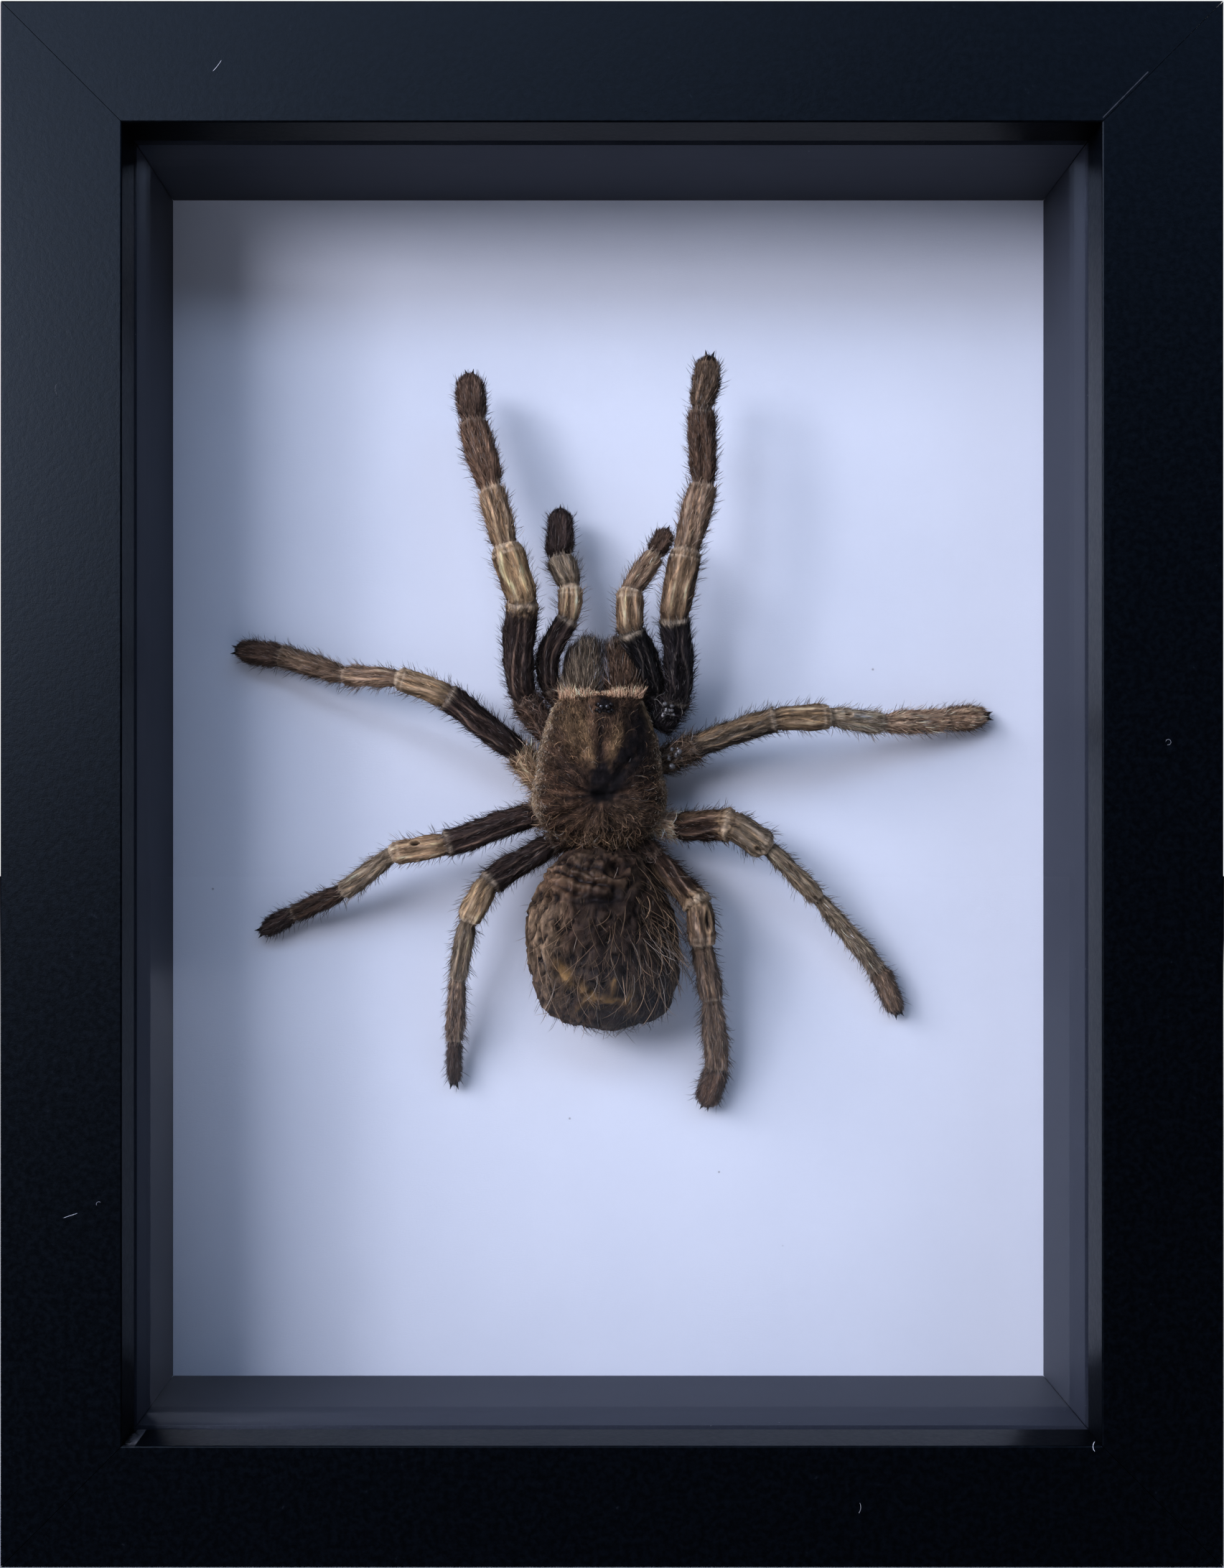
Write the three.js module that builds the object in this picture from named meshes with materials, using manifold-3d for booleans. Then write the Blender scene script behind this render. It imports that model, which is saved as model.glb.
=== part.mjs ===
// A deep shadow-box frame with a dried tarantula fixed to the card inside it.
// Millimetres, +Z up. The box stands on its bottom edge, X runs across it and its front looks
// towards -Y. The origin is on the surface it stands on, under the middle of the box.
import * as THREE from "three";
import { mergeVertices } from "three/addons/utils/BufferGeometryUtils.js";
import Module from "manifold-3d";

const wasm = await Module();
wasm.setup();

// ---- Driving dimensions ----

// The box. Depths are measured backwards from the front face.
const WIDTH = 178.5;
const HEIGHT = 228.6;
const DEPTH = 42;
const PLAY = 0.1; // gap left between two faces that touch
const SEAT = 0.4; // play of a loose sheet or strip inside the rebate

// A rail: the lip in front of the glass, and the thinner wall behind it.
const FACE_WIDTH = 17.75;
const LIP_DEPTH = 7;
const WALL_THICK = 13;

// What the rails hold, from front to back.
const GLASS_THICK = 2;
const CARD_FRONT = 32;
const CARD_THICK = 1.5;
const PANEL_THICK = 3;

// Bendable tabs that hold the back panel.
const TAB = { width: 8, length: 13, thick: 0.6, rootRise: 1.4, tipRadius: 2.5 };
const TAB_FROM_MIDDLE = { acrossTop: 45, alongSide: 65 };

// Sawtooth hanger: two flat ears and a raised middle with teeth on its lower edge.
const HANGER = { width: 45, ear: 8, height: 9, rise: 2, slope: 3, thick: 0.8 };
const HANGER_FROM_TOP = 40;
const TEETH = { count: 9, pitch: 2.6, depth: 2.2 };
const NAIL = { headRadius: 2.2, headHeight: 0.9, rimRadius: 1.76, rimHeight: 0.585 };

// Limbs and body of the specimen are placed by points [x, z, h]: across and up from the middle of
// the animal, and h out from the card.
const SPECIMEN_X = -1;
const SPECIMEN_Z = 109;
const SIDES = 8; // around a limb
const BODY_SIDES = 16; // around the prosoma and the abdomen
const CLEARANCE = 0.3; // between a limb's root and the body it grows from

// Width at a joint as a share of the slimmer of the two articles it joins.
const NECKS = { root: 0.9, trochanter: 1, knee: 0.95, shin: 0.88, heel: 0.72, toe: 0.74, tip: 0.4 };
const LEG_NECKS = ["root", "trochanter", "knee", "shin", "heel", "toe", "tip"];
const PALP_NECKS = ["root", "trochanter", "knee", "shin", "shin", "tip"];

// Each limb: its joints from the body to the foot, and the widths of the articles between them
// (coxa, femur, patella, tibia, metatarsus and tarsus; a pedipalp has no metatarsus).
const LEGS = {
  left_1: {
    joints: [
      [-10.0, 15.6, 6], [-12.7, 19.5, 7.5], [-12.5, 34.0, 14], [-15.3, 43.0, 14],
      [-17.7, 52.1, 12], [-20.6, 63.1, 10.5], [-21.2, 70.9, 9.5],
    ],
    widths: [4.6, 4.7, 5.6, 4.4, 5.1, 4.9],
  },
  right_1: {
    joints: [
      [10.4, 17.0, 7], [11.9, 19.5, 9], [10.8, 31.4, 16.5], [12.7, 41.8, 17],
      [15.4, 51.9, 16.5], [15.2, 63.5, 16], [16.4, 72.0, 16],
    ],
    widths: [4.6, 5.3, 5.1, 4.4, 4.6, 4.2],
  },
  left_2: {
    joints: [
      [-10.9, 7.2, 6], [-13.6, 11.0, 7], [-24.5, 19.6, 12.5], [-32.4, 22.4, 11.5],
      [-41.4, 23.2, 7], [-52.2, 26.7, 3.5], [-59.9, 27.8, 2],
    ],
    widths: [4.4, 4.6, 4.3, 3.5, 3.8, 4.0],
  },
  right_2: {
    joints: [
      [11.0, 10.0, 6], [15.3, 12.1, 7], [27.2, 16.0, 12.5], [35.8, 16.4, 11.5],
      [44.6, 15.6, 7], [55.5, 16.3, 3.5], [63.1, 17.0, 2],
    ],
    widths: [4.4, 4.2, 4.3, 3.7, 4.0, 4.1],
  },
  left_3: {
    joints: [
      [-9.6, 1.2, 6], [-11.2, 0.9, 7], [-24.9, -3.8, 12], [-33.3, -5.3, 11],
      [-41.6, -11.4, 7], [-50.1, -15.2, 3.5], [-55.9, -18.3, 1.8],
    ],
    widths: [4.4, 4.6, 4.2, 3.4, 3.2, 3.1],
  },
  right_3: {
    joints: [
      [9.2, -0.6, 6], [12.0, -1.0, 7], [20.2, -0.6, 12], [26.1, -4.3, 11],
      [34.5, -12.4, 7], [44.7, -24.1, 3.5], [48.4, -31.6, 1.8],
    ],
    widths: [4.4, 5.1, 5.0, 3.2, 3.2, 3.5],
  },
  left_4: {
    joints: [
      [-5.7, -2.6, 6], [-8.8, -4.1, 7], [-18.2, -9.8, 12.5], [-21.3, -16.0, 12],
      [-23.2, -25.2, 8], [-24.0, -35.5, 4], [-24.2, -43.2, 2],
    ],
    widths: [4.3, 4.4, 4.3, 3.4, 3.3, 2.6],
  },
  right_4: {
    joints: [
      [5.9, -3.8, 6], [8.5, -6.4, 7], [15.1, -13.2, 12.5], [15.6, -19.7, 12],
      [17.4, -28.4, 8], [18.6, -40.0, 4], [16.8, -46.7, 2],
    ],
    widths: [4.3, 4.4, 4.9, 4.1, 4.1, 4.2],
  },
};
const PALPS = {
  left: {
    joints: [
      [-5.7, 18.2, 6], [-8.7, 21.2, 7], [-5.4, 32.0, 10], [-5.1, 37.1, 9.5],
      [-6.9, 41.9, 8], [-6.8, 50.0, 6.5],
    ],
    widths: [3.7, 4.9, 4.1, 4.7, 4.5],
  },
  right: {
    joints: [
      [5.9, 18.2, 6], [8.4, 20.3, 7.5], [4.2, 29.6, 12.5], [4.2, 36.2, 11.5],
      [8.3, 42.2, 9], [10.4, 46.6, 7.5],
    ],
    widths: [3.7, 4.6, 4.8, 3.9, 3.5],
  },
};

// Sections across the body, from its front to its rear: [z, left, right, low, high], left and
// right across from the middle line, low and high out from the card.
const PROSOMA = [
  [19.3, -6.9, 6.1, 6, 12.2],
  [18.6, -7.4, 6.5, 5, 12.9],
  [15.6, -8.8, 7.7, 3.6, 14.4],
  [8, -10.4, 9.2, 2.6, 15.6],
  [1, -10.6, 9.4, 2.6, 15.3],
  [-2.2, -7.8, 7, 4, 13.4],
  [-4.3, -3.2, 3.3, 6.4, 11],
];
const ABDOMEN = [
  [-5.2, -3.4, 3.5, 6.4, 11.4],
  [-7.5, -7.4, 7.0, 4, 14.5],
  [-13.3, -11.2, 10.5, 2, 17.4],
  [-20, -12, 12, 1.5, 18.4],
  [-26.5, -10.4, 11.4, 1.7, 17.4],
  [-31.0, -7.8, 8.8, 3.2, 14.6],
  [-33.1, -3.4, 5.2, 5.8, 11.4],
];
const CHELICERA_INNER = 0.25; // from the middle line to a chelicera's inner side
const CHELICERA = [
  [18.9, 2.4, 4.8, 6, 9.8],
  [21, 0, 5.9, 4.6, 11.7],
  [25, 0, 5.8, 4.4, 11.5],
  [28, 0.2, 5.3, 4.8, 10.6],
  [29.5, 0.8, 4.6, 5.8, 9.0],
];

// The pad of glue, and its shape as shares of its radius and height.
const GLUE_PAD = { x: -0.5, z: 5, radius: 5, height: 2.2, foot: PLAY };
const GLUE_SHAPE = { shoulderRadius: 0.85, shoulderHeight: 0.6, topRadius: 0.5 };

// An article is a spindle: where it is widest as a share of its length, how much it narrows over
// that stretch, and how far its ends run past the joints as a share of the radius there.
const SPINDLE = { fullFrom: 0.35, fullTo: 0.7, narrowed: 0.96, endReach: 0.6 };

// ---- Materials ----

const finish = (color, roughness, metalness = 0) =>
  new THREE.MeshStandardMaterial({ color, roughness, metalness });
const blackRail = finish(0x23282f, 0.45);
const blackSpacer = finish(0x1c2028, 0.35);
const glass = new THREE.MeshStandardMaterial({
  color: 0xf4f8fa,
  roughness: 0.05,
  transparent: true,
  opacity: 0.2,
});
const whiteCard = finish(0xd8dde8, 0.9);
const hardboard = finish(0x6b4a30, 0.85);
const steel = finish(0x9a9c9e, 0.35, 1);
const driedSkin = finish(0x5a4632, 0.8);
const palerLimb = finish(0x7a654a, 0.8);
const driedGlue = finish(0xc9c7bd, 0.3);

// ---- Joining and cutting ----

function solidOf(geometry) {
  const bare = geometry.clone();
  bare.deleteAttribute("normal");
  bare.deleteAttribute("uv");
  const merged = mergeVertices(bare, 1e-4);
  return new wasm.Manifold(
    new wasm.Mesh({
      numProp: 3,
      vertProperties: new Float32Array(merged.attributes.position.array),
      triVerts: new Uint32Array(merged.index.array),
    }),
  );
}

function geometryOf(solid) {
  const mesh = solid.getMesh();
  const geometry = new THREE.BufferGeometry();
  geometry.setAttribute("position", new THREE.BufferAttribute(mesh.vertProperties, 3));
  geometry.setIndex(new THREE.BufferAttribute(mesh.triVerts, 1));
  geometry.computeVertexNormals();
  return geometry;
}

const joined = (solids) => solids.reduce((whole, piece) => whole.add(piece));
const cutBy = (solid, cutters) => cutters.reduce((left, cutter) => left.subtract(cutter), solid);

// ---- The case ----

// A strip of the given section, mitred at both ends. The section's points are (inset from the
// outer edge, depth); the strip runs along X with its outer edge at Z = 0 and its inside at +Z.
function mitredStrip(section, length) {
  const shape = new THREE.Shape(section.map(([inset, depth]) => new THREE.Vector2(inset, depth)));
  const geometry = new THREE.ExtrudeGeometry(shape, { depth: 1, bevelEnabled: false });
  const point = geometry.attributes.position;
  const mitrePlay = PLAY / 2;
  for (let i = 0; i < point.count; i += 1) {
    const inset = point.getX(i);
    const reach = length / 2 - inset - mitrePlay;
    const end = point.getZ(i) > 0.5 ? -1 : 1;
    point.setXYZ(i, end * reach, point.getY(i), inset);
  }
  return geometry;
}

// Places four strips around a rectangle of the given outer size, centred in the frame.
function fourSides(name, section, width, height, material) {
  const sides = new THREE.Group();
  const places = [
    ["bottom", width, 0, 0, -height / 2],
    ["right", height, -Math.PI / 2, width / 2, 0],
    ["top", width, Math.PI, 0, height / 2],
    ["left", height, Math.PI / 2, -width / 2, 0],
  ];
  for (const [side, length, turn, x, z] of places) {
    const strip = new THREE.Mesh(mitredStrip(section, length), material);
    strip.name = `${name}_${side}`;
    strip.rotation.y = turn;
    strip.position.set(x, -DEPTH / 2, HEIGHT / 2 + z);
    sides.add(strip);
  }
  return sides;
}

function rails() {
  const section = [
    [0, 0],
    [FACE_WIDTH, 0],
    [FACE_WIDTH, LIP_DEPTH],
    [WALL_THICK, LIP_DEPTH],
    [WALL_THICK, DEPTH],
    [0, DEPTH],
  ];
  return fourSides("frame_rail", section, WIDTH, HEIGHT, blackRail);
}

// The strips stand inside the rebate, with their inner faces in line with the lip's edge.
function spacers() {
  const inset = WALL_THICK + SEAT;
  const thick = FACE_WIDTH - inset;
  const front = LIP_DEPTH + PLAY + GLASS_THICK + PLAY;
  const back = CARD_FRONT - PLAY;
  const section = [
    [0, front],
    [thick, front],
    [thick, back],
    [0, back],
  ];
  return fourSides("spacer", section, WIDTH - 2 * inset, HEIGHT - 2 * inset, blackSpacer);
}

// A flat sheet that fills the rebate, its front face at the given depth.
function sheet(name, front, thick, material) {
  const inset = WALL_THICK + SEAT;
  const box = new THREE.BoxGeometry(WIDTH - 2 * inset, thick, HEIGHT - 2 * inset);
  const mesh = new THREE.Mesh(box, material);
  mesh.name = name;
  mesh.position.set(0, front + thick / 2 - DEPTH / 2, HEIGHT / 2);
  return mesh;
}

const panelFront = CARD_FRONT + CARD_THICK + PLAY;
const panelBack = panelFront + PANEL_THICK;

function sheets() {
  const group = new THREE.Group();
  group.add(
    sheet("glass_pane", LIP_DEPTH + PLAY, GLASS_THICK, glass),
    sheet("backing_card", CARD_FRONT, CARD_THICK, whiteCard),
    sheet("back_panel", panelFront, PANEL_THICK, hardboard),
  );
  return group;
}

// One tab: a strip with a rounded tip that leaves the rail's wall and bends down to the panel.
function tabGeometry() {
  const half = TAB.width / 2;
  const tip = TAB.tipRadius;
  const outline = new THREE.Shape();
  outline.moveTo(-half, 0);
  outline.lineTo(half, 0);
  outline.lineTo(half, TAB.length - tip);
  outline.quadraticCurveTo(half, TAB.length, 0, TAB.length);
  outline.quadraticCurveTo(-half, TAB.length, -half, TAB.length - tip);
  outline.closePath();
  const geometry = new THREE.ExtrudeGeometry(outline, {
    depth: TAB.thick,
    bevelEnabled: false,
    curveSegments: 4,
  });
  // Its length turns from Y to Z and its thickness from Z to Y.
  geometry.rotateX(Math.PI / 2);
  geometry.translate(0, TAB.thick, 0);
  const point = geometry.attributes.position;
  for (let i = 0; i < point.count; i += 1) {
    const rise = TAB.rootRise * (1 - point.getZ(i) / TAB.length);
    point.setY(i, point.getY(i) + rise);
  }
  return geometry;
}

function tabs() {
  const group = new THREE.Group();
  const top = HEIGHT / 2 - WALL_THICK - PLAY;
  const side = WIDTH / 2 - WALL_THICK - PLAY;
  const { acrossTop, alongSide } = TAB_FROM_MIDDLE;
  const places = [];
  for (const [end, offset] of [["1", -1], ["2", 1]]) {
    places.push(
      [`tab_top_${end}`, offset * acrossTop, top, Math.PI],
      [`tab_bottom_${end}`, offset * acrossTop, -top, 0],
      [`tab_left_${end}`, -side, offset * alongSide, Math.PI / 2],
      [`tab_right_${end}`, side, offset * alongSide, -Math.PI / 2],
    );
  }
  for (const [name, x, z, turn] of places) {
    const tab = new THREE.Mesh(tabGeometry(), steel);
    tab.name = name;
    tab.rotation.y = turn;
    tab.position.set(x, panelBack + PLAY - DEPTH / 2, HEIGHT / 2 + z);
    group.add(tab);
  }
  return group;
}

// The plate's section is (across, out from the panel); its teeth are cut from the lower edge.
function hangerSolid() {
  const { width, ear, height, rise, slope, thick } = HANGER;
  const end = width / 2;
  const foot = end - ear;
  const shoulder = foot - slope;
  const section = new THREE.Shape(
    [
      [-end, 0],
      [-foot, 0],
      [-shoulder, rise],
      [shoulder, rise],
      [foot, 0],
      [end, 0],
      [end, thick],
      [foot, thick],
      [shoulder, rise + thick],
      [-shoulder, rise + thick],
      [-foot, thick],
      [-end, thick],
    ].map(([x, y]) => new THREE.Vector2(x, y)),
  );
  const plate = new THREE.ExtrudeGeometry(section, { depth: height, bevelEnabled: false });
  const saw = new THREE.Shape();
  const start = (-TEETH.count * TEETH.pitch) / 2;
  const below = -TEETH.depth;
  saw.moveTo(start, below);
  for (let i = 0; i < TEETH.count; i += 1) {
    saw.lineTo(start + (i + 0.5) * TEETH.pitch, TEETH.depth);
    saw.lineTo(start + (i + 1) * TEETH.pitch, i === TEETH.count - 1 ? below : 0);
  }
  saw.closePath();
  const cutter = new THREE.ExtrudeGeometry(saw, { depth: 4 * rise, bevelEnabled: false });
  cutter.rotateX(Math.PI / 2);
  cutter.translate(0, 3 * rise, 0);
  return solidOf(plate).subtract(solidOf(cutter));
}

function hanger() {
  const group = new THREE.Group();
  const lowerEdge = HEIGHT - HANGER_FROM_TOP - HANGER.height;
  group.position.set(0, panelBack + PLAY - DEPTH / 2, lowerEdge);
  const plate = new THREE.Mesh(geometryOf(hangerSolid()), steel);
  plate.name = "hanger";
  group.add(plate);
  const { headRadius, headHeight, rimRadius, rimHeight } = NAIL;
  const dome = [
    [0, 0],
    [headRadius, 0],
    [rimRadius, rimHeight],
    [0, headHeight],
  ].map(([r, y]) => new THREE.Vector2(r, y));
  for (const [side, sign] of [["left", -1], ["right", 1]]) {
    const nail = new THREE.Mesh(new THREE.LatheGeometry(dome, 12), steel);
    nail.name = `hanger_nail_${side}`;
    const x = sign * (HANGER.width / 2 - HANGER.ear / 2);
    nail.position.set(x, HANGER.thick + PLAY, HANGER.height / 2);
    group.add(nail);
  }
  return group;
}

// ---- The specimen ----

const specimenPoint = ([x, z, h]) => new THREE.Vector3(x, -h, z);

// One article of a limb: a spindle between two joints that runs a little past both.
function articleSolid(from, to, fromRadius, middleRadius, toRadius) {
  const a = specimenPoint(from);
  const b = specimenPoint(to);
  const length = a.distanceTo(b);
  const { fullFrom, fullTo, narrowed, endReach } = SPINDLE;
  const profile = [
    [0, -endReach * fromRadius],
    [fromRadius, 0],
    [middleRadius, fullFrom * length],
    [middleRadius * narrowed, fullTo * length],
    [toRadius, length],
    [0, length + endReach * toRadius],
  ].map(([r, y]) => new THREE.Vector2(r, y));
  const geometry = new THREE.LatheGeometry(profile, SIDES);
  const up = new THREE.Vector3(0, 1, 0);
  const turn = new THREE.Quaternion().setFromUnitVectors(up, b.clone().sub(a).normalize());
  geometry.applyQuaternion(turn);
  geometry.translate(a.x, a.y, a.z);
  return solidOf(geometry);
}

// Radius at each joint, from the widths of the articles on its two sides.
function jointRadii(widths, necks, grow) {
  return necks.map((neck, i) => {
    const before = widths[Math.max(i - 1, 0)];
    const after = widths[Math.min(i, widths.length - 1)];
    return (Math.min(before, after) * NECKS[neck]) / 2 + grow;
  });
}

function limbSolid({ joints, widths }, necks, grow = 0) {
  const radii = jointRadii(widths, necks, grow);
  const articles = widths.map((width, i) =>
    articleSolid(joints[i], joints[i + 1], radii[i], width / 2 + grow, radii[i + 1]),
  );
  return joined(articles);
}

// A rounded body through its sections: each row of a closed cylinder is drawn out to a section.
function bodySolid(sections, sides, grow = 0) {
  const rows = sections.length - 1;
  const geometry = new THREE.CylinderGeometry(1, 1, 1, sides, rows);
  const point = geometry.attributes.position;
  for (let i = 0; i < point.count; i += 1) {
    const row = Math.round((0.5 - point.getY(i)) * rows);
    const [z, left, right, low, high] = sections[row];
    const end = row === 0 ? grow : row === rows ? -grow : 0;
    const x = (left + right) / 2 + point.getX(i) * ((right - left) / 2 + grow);
    const h = (low + high) / 2 + point.getZ(i) * ((high - low) / 2 + grow);
    point.setXYZ(i, x, -h, z + end);
  }
  return solidOf(geometry);
}

// The chelicera's sections run outwards from its inner side; the left one is its mirror image.
function cheliceraSections(sign) {
  return CHELICERA.map(([z, inner, outer, low, high]) => {
    const sides = [sign * (CHELICERA_INNER + inner), sign * (CHELICERA_INNER + outer)];
    return [z, Math.min(...sides), Math.max(...sides), low, high];
  }).reverse();
}

function glueSolid() {
  const { radius, height, foot, x, z } = GLUE_PAD;
  const { shoulderRadius, shoulderHeight, topRadius } = GLUE_SHAPE;
  const profile = [
    [0, foot],
    [radius, foot],
    [radius * shoulderRadius, height * shoulderHeight],
    [radius * topRadius, height],
    [0, height],
  ].map(([r, y]) => new THREE.Vector2(r, y));
  const geometry = new THREE.LatheGeometry(profile, BODY_SIDES);
  geometry.rotateX(Math.PI); // from the card out to the front
  geometry.translate(x, 0, z);
  return solidOf(geometry);
}

function specimen() {
  const group = new THREE.Group();
  group.position.set(SPECIMEN_X, CARD_FRONT - DEPTH / 2, SPECIMEN_Z);
  const add = (name, solid, material) => {
    const mesh = new THREE.Mesh(geometryOf(solid), material);
    mesh.name = name;
    group.add(mesh);
  };
  const body = [
    bodySolid(PROSOMA, BODY_SIDES, CLEARANCE),
    bodySolid(ABDOMEN, BODY_SIDES, CLEARANCE),
    ...[-1, 1].map((sign) => bodySolid(cheliceraSections(sign), SIDES, CLEARANCE)),
  ];
  add("prosoma", bodySolid(PROSOMA, BODY_SIDES), driedSkin);
  add("abdomen", bodySolid(ABDOMEN, BODY_SIDES), driedSkin);
  add("glue_pad", glueSolid(), driedGlue);
  for (const [side, sign] of [["left", -1], ["right", 1]]) {
    const jaw = bodySolid(cheliceraSections(sign), SIDES);
    add(`chelicera_${side}`, cutBy(jaw, [body[0]]), driedSkin);
  }
  const legs = Object.values(LEGS).map((leg) => limbSolid(leg, LEG_NECKS, CLEARANCE));
  for (const [side, palp] of Object.entries(PALPS)) {
    const solid = cutBy(limbSolid(palp, PALP_NECKS), [...body, ...legs]);
    add(`pedipalp_${side}`, solid, palerLimb);
  }
  for (const [name, leg] of Object.entries(LEGS)) {
    add(`leg_${name}`, cutBy(limbSolid(leg, LEG_NECKS), body), palerLimb);
  }
  return group;
}

const framedSpecimen = new THREE.Group();
framedSpecimen.add(rails(), spacers(), sheets(), tabs(), hanger(), specimen());

export default framedSpecimen;
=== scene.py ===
"""A dried tarantula on a white card, in a deep black shadow-box frame with a glass front."""

import math
from types import SimpleNamespace

import bmesh
import bpy
import numpy as np
from mathutils import Matrix, Vector, noise


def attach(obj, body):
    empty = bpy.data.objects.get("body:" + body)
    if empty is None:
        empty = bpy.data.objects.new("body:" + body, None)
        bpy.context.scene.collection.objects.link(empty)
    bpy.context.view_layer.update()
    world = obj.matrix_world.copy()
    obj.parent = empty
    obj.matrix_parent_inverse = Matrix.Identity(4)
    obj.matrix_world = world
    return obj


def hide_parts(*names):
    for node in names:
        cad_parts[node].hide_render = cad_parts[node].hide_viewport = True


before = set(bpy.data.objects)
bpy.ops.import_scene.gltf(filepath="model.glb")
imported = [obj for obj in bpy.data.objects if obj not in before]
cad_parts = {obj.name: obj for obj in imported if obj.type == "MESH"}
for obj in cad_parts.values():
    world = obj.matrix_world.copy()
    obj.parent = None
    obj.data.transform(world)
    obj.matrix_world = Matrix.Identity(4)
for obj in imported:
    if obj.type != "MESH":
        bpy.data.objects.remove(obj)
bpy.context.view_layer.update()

MM = 0.001
TURN = 2 * math.pi
SIDES = ("top", "bottom", "left", "right")

# ------------------------------------------------------------------ the specimen's measures, mm
# A specimen point is [x, z, h]: x from the specimen's middle, z along the case, h above the card.
SPECIMEN_X, SPECIMEN_Z, CARD_FACE = -1, 109, 11

# Each limb: its joints from its root to the tip of its foot, and the width of each article.
LIMBS = {
    "leg_left_1": (
        [[-10.0, 15.6, 6], [-12.7, 19.5, 7.5], [-12.5, 34.0, 14], [-15.3, 43.0, 14],
         [-17.7, 52.1, 12], [-20.6, 63.1, 10.5], [-21.2, 70.9, 9.5]],
        [4.6, 5.2, 5.6, 4.5, 5.1, 4.9]),
    "leg_right_1": (
        [[10.4, 17.0, 7], [11.9, 19.5, 9], [10.8, 31.4, 16.5], [12.7, 41.8, 17],
         [15.4, 51.9, 16.5], [15.2, 63.5, 16], [16.4, 72.0, 16]],
        [4.6, 4.9, 5.3, 5.0, 4.6, 4.2]),
    "leg_left_2": (
        [[-10.9, 7.2, 6], [-13.6, 11.0, 7], [-24.5, 19.6, 12.5], [-32.4, 22.4, 11.5],
         [-41.4, 23.2, 7], [-52.2, 26.7, 3.5], [-59.9, 27.8, 2]],
        [4.4, 4.6, 4.3, 3.5, 3.8, 4.0]),
    "leg_right_2": (
        [[11.0, 10.0, 6], [15.3, 12.1, 7], [27.2, 16.0, 12.5], [35.8, 16.4, 11.5],
         [44.6, 15.6, 7], [55.5, 16.3, 3.5], [63.1, 17.0, 2]],
        [4.4, 4.2, 4.3, 3.7, 4.0, 4.1]),
    "leg_left_3": (
        [[-9.6, 1.2, 6], [-11.2, 0.9, 7], [-24.9, -3.8, 12], [-33.3, -5.3, 11],
         [-41.6, -11.4, 7], [-50.1, -15.2, 3.5], [-55.9, -18.3, 1.8]],
        [4.4, 4.6, 4.2, 3.4, 3.2, 3.1]),
    "leg_right_3": (
        [[9.2, -0.6, 6], [12.0, -1.0, 7], [20.2, -0.6, 12], [26.1, -4.3, 11],
         [34.5, -12.4, 7], [44.7, -24.1, 3.5], [48.4, -31.6, 1.8]],
        [4.4, 5.1, 5.0, 3.2, 3.2, 3.5]),
    "leg_left_4": (
        [[-5.7, -2.6, 6], [-8.8, -4.1, 7], [-18.2, -9.8, 12.5], [-21.3, -16.0, 12],
         [-23.2, -25.2, 8], [-24.0, -35.5, 4], [-24.2, -43.2, 2]],
        [4.3, 4.4, 4.3, 3.4, 3.3, 2.6]),
    "leg_right_4": (
        [[5.9, -3.8, 6], [8.5, -6.4, 7], [15.1, -13.2, 12.5], [15.6, -19.7, 12],
         [17.4, -28.4, 8], [18.6, -40.0, 4], [16.8, -46.7, 2]],
        [4.3, 4.4, 4.9, 4.1, 4.1, 4.2]),
    "pedipalp_left": (
        [[-5.7, 18.2, 6], [-8.7, 21.2, 7], [-5.4, 32.0, 10], [-5.1, 37.1, 9.5],
         [-6.9, 41.9, 8], [-6.8, 50.0, 6.5]],
        [3.7, 3.9, 4.1, 4.7, 4.5]),
    "pedipalp_right": (
        [[5.9, 18.2, 6], [8.4, 20.3, 7.5], [4.2, 29.6, 12.5], [4.2, 36.2, 11.5],
         [8.3, 42.2, 9], [10.4, 46.6, 7.5]],
        [3.7, 4.6, 4.8, 3.9, 3.5]),
}
# How far a joint is pinched, as a share of the slimmer article beside it.
LEG_NECKS = [0.9, 0.88, 0.86, 0.8, 0.74, 0.8]
PALP_NECKS = [0.9, 0.88, 0.86, 0.8, 0.72]

# Cross-sections along z: [z, left, right, low, high].
PROSOMA = [
    [19.3, -6.9, 6.1, 6, 12.2], [18.6, -7.4, 6.5, 5, 12.9], [15.6, -8.8, 7.7, 3.6, 14.4],
    [8, -10.4, 9.2, 2.6, 15.6], [1, -10.6, 9.4, 2.6, 15.3], [-2.2, -7.8, 7, 4, 13.4],
    [-4.3, -3.2, 3.3, 6.4, 11]]
ABDOMEN = [
    [-3.8, -4.6, 4.6, 6.4, 11.2], [-5.2, -6.4, 6.2, 5, 13.0], [-7.6, -7.8, 7.4, 4, 14.5],
    [-13.3, -11.2, 10.5, 2, 17.4], [-20, -12, 12, 1.5, 18.4], [-26.5, -10.4, 11.4, 1.7, 17.4],
    [-31.0, -7.8, 8.8, 3.2, 14.6], [-33.1, -3.4, 5.2, 5.8, 11.4]]
CHELICERA_INNER = 0.1
CHELICERA = [
    [18.9, 0.6, 6.2, 6, 10.6], [21, 0, 6.5, 4.6, 11.8], [24.4, 0, 6.2, 4.4, 11.6],
    [26.8, 0.1, 5.7, 4.8, 10.8], [28.4, 0.3, 4.6, 5.6, 9.4]]
FOVEA = (-0.3, 3.9)
EYE_TUBERCLE = (0.15, 17.5)

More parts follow.
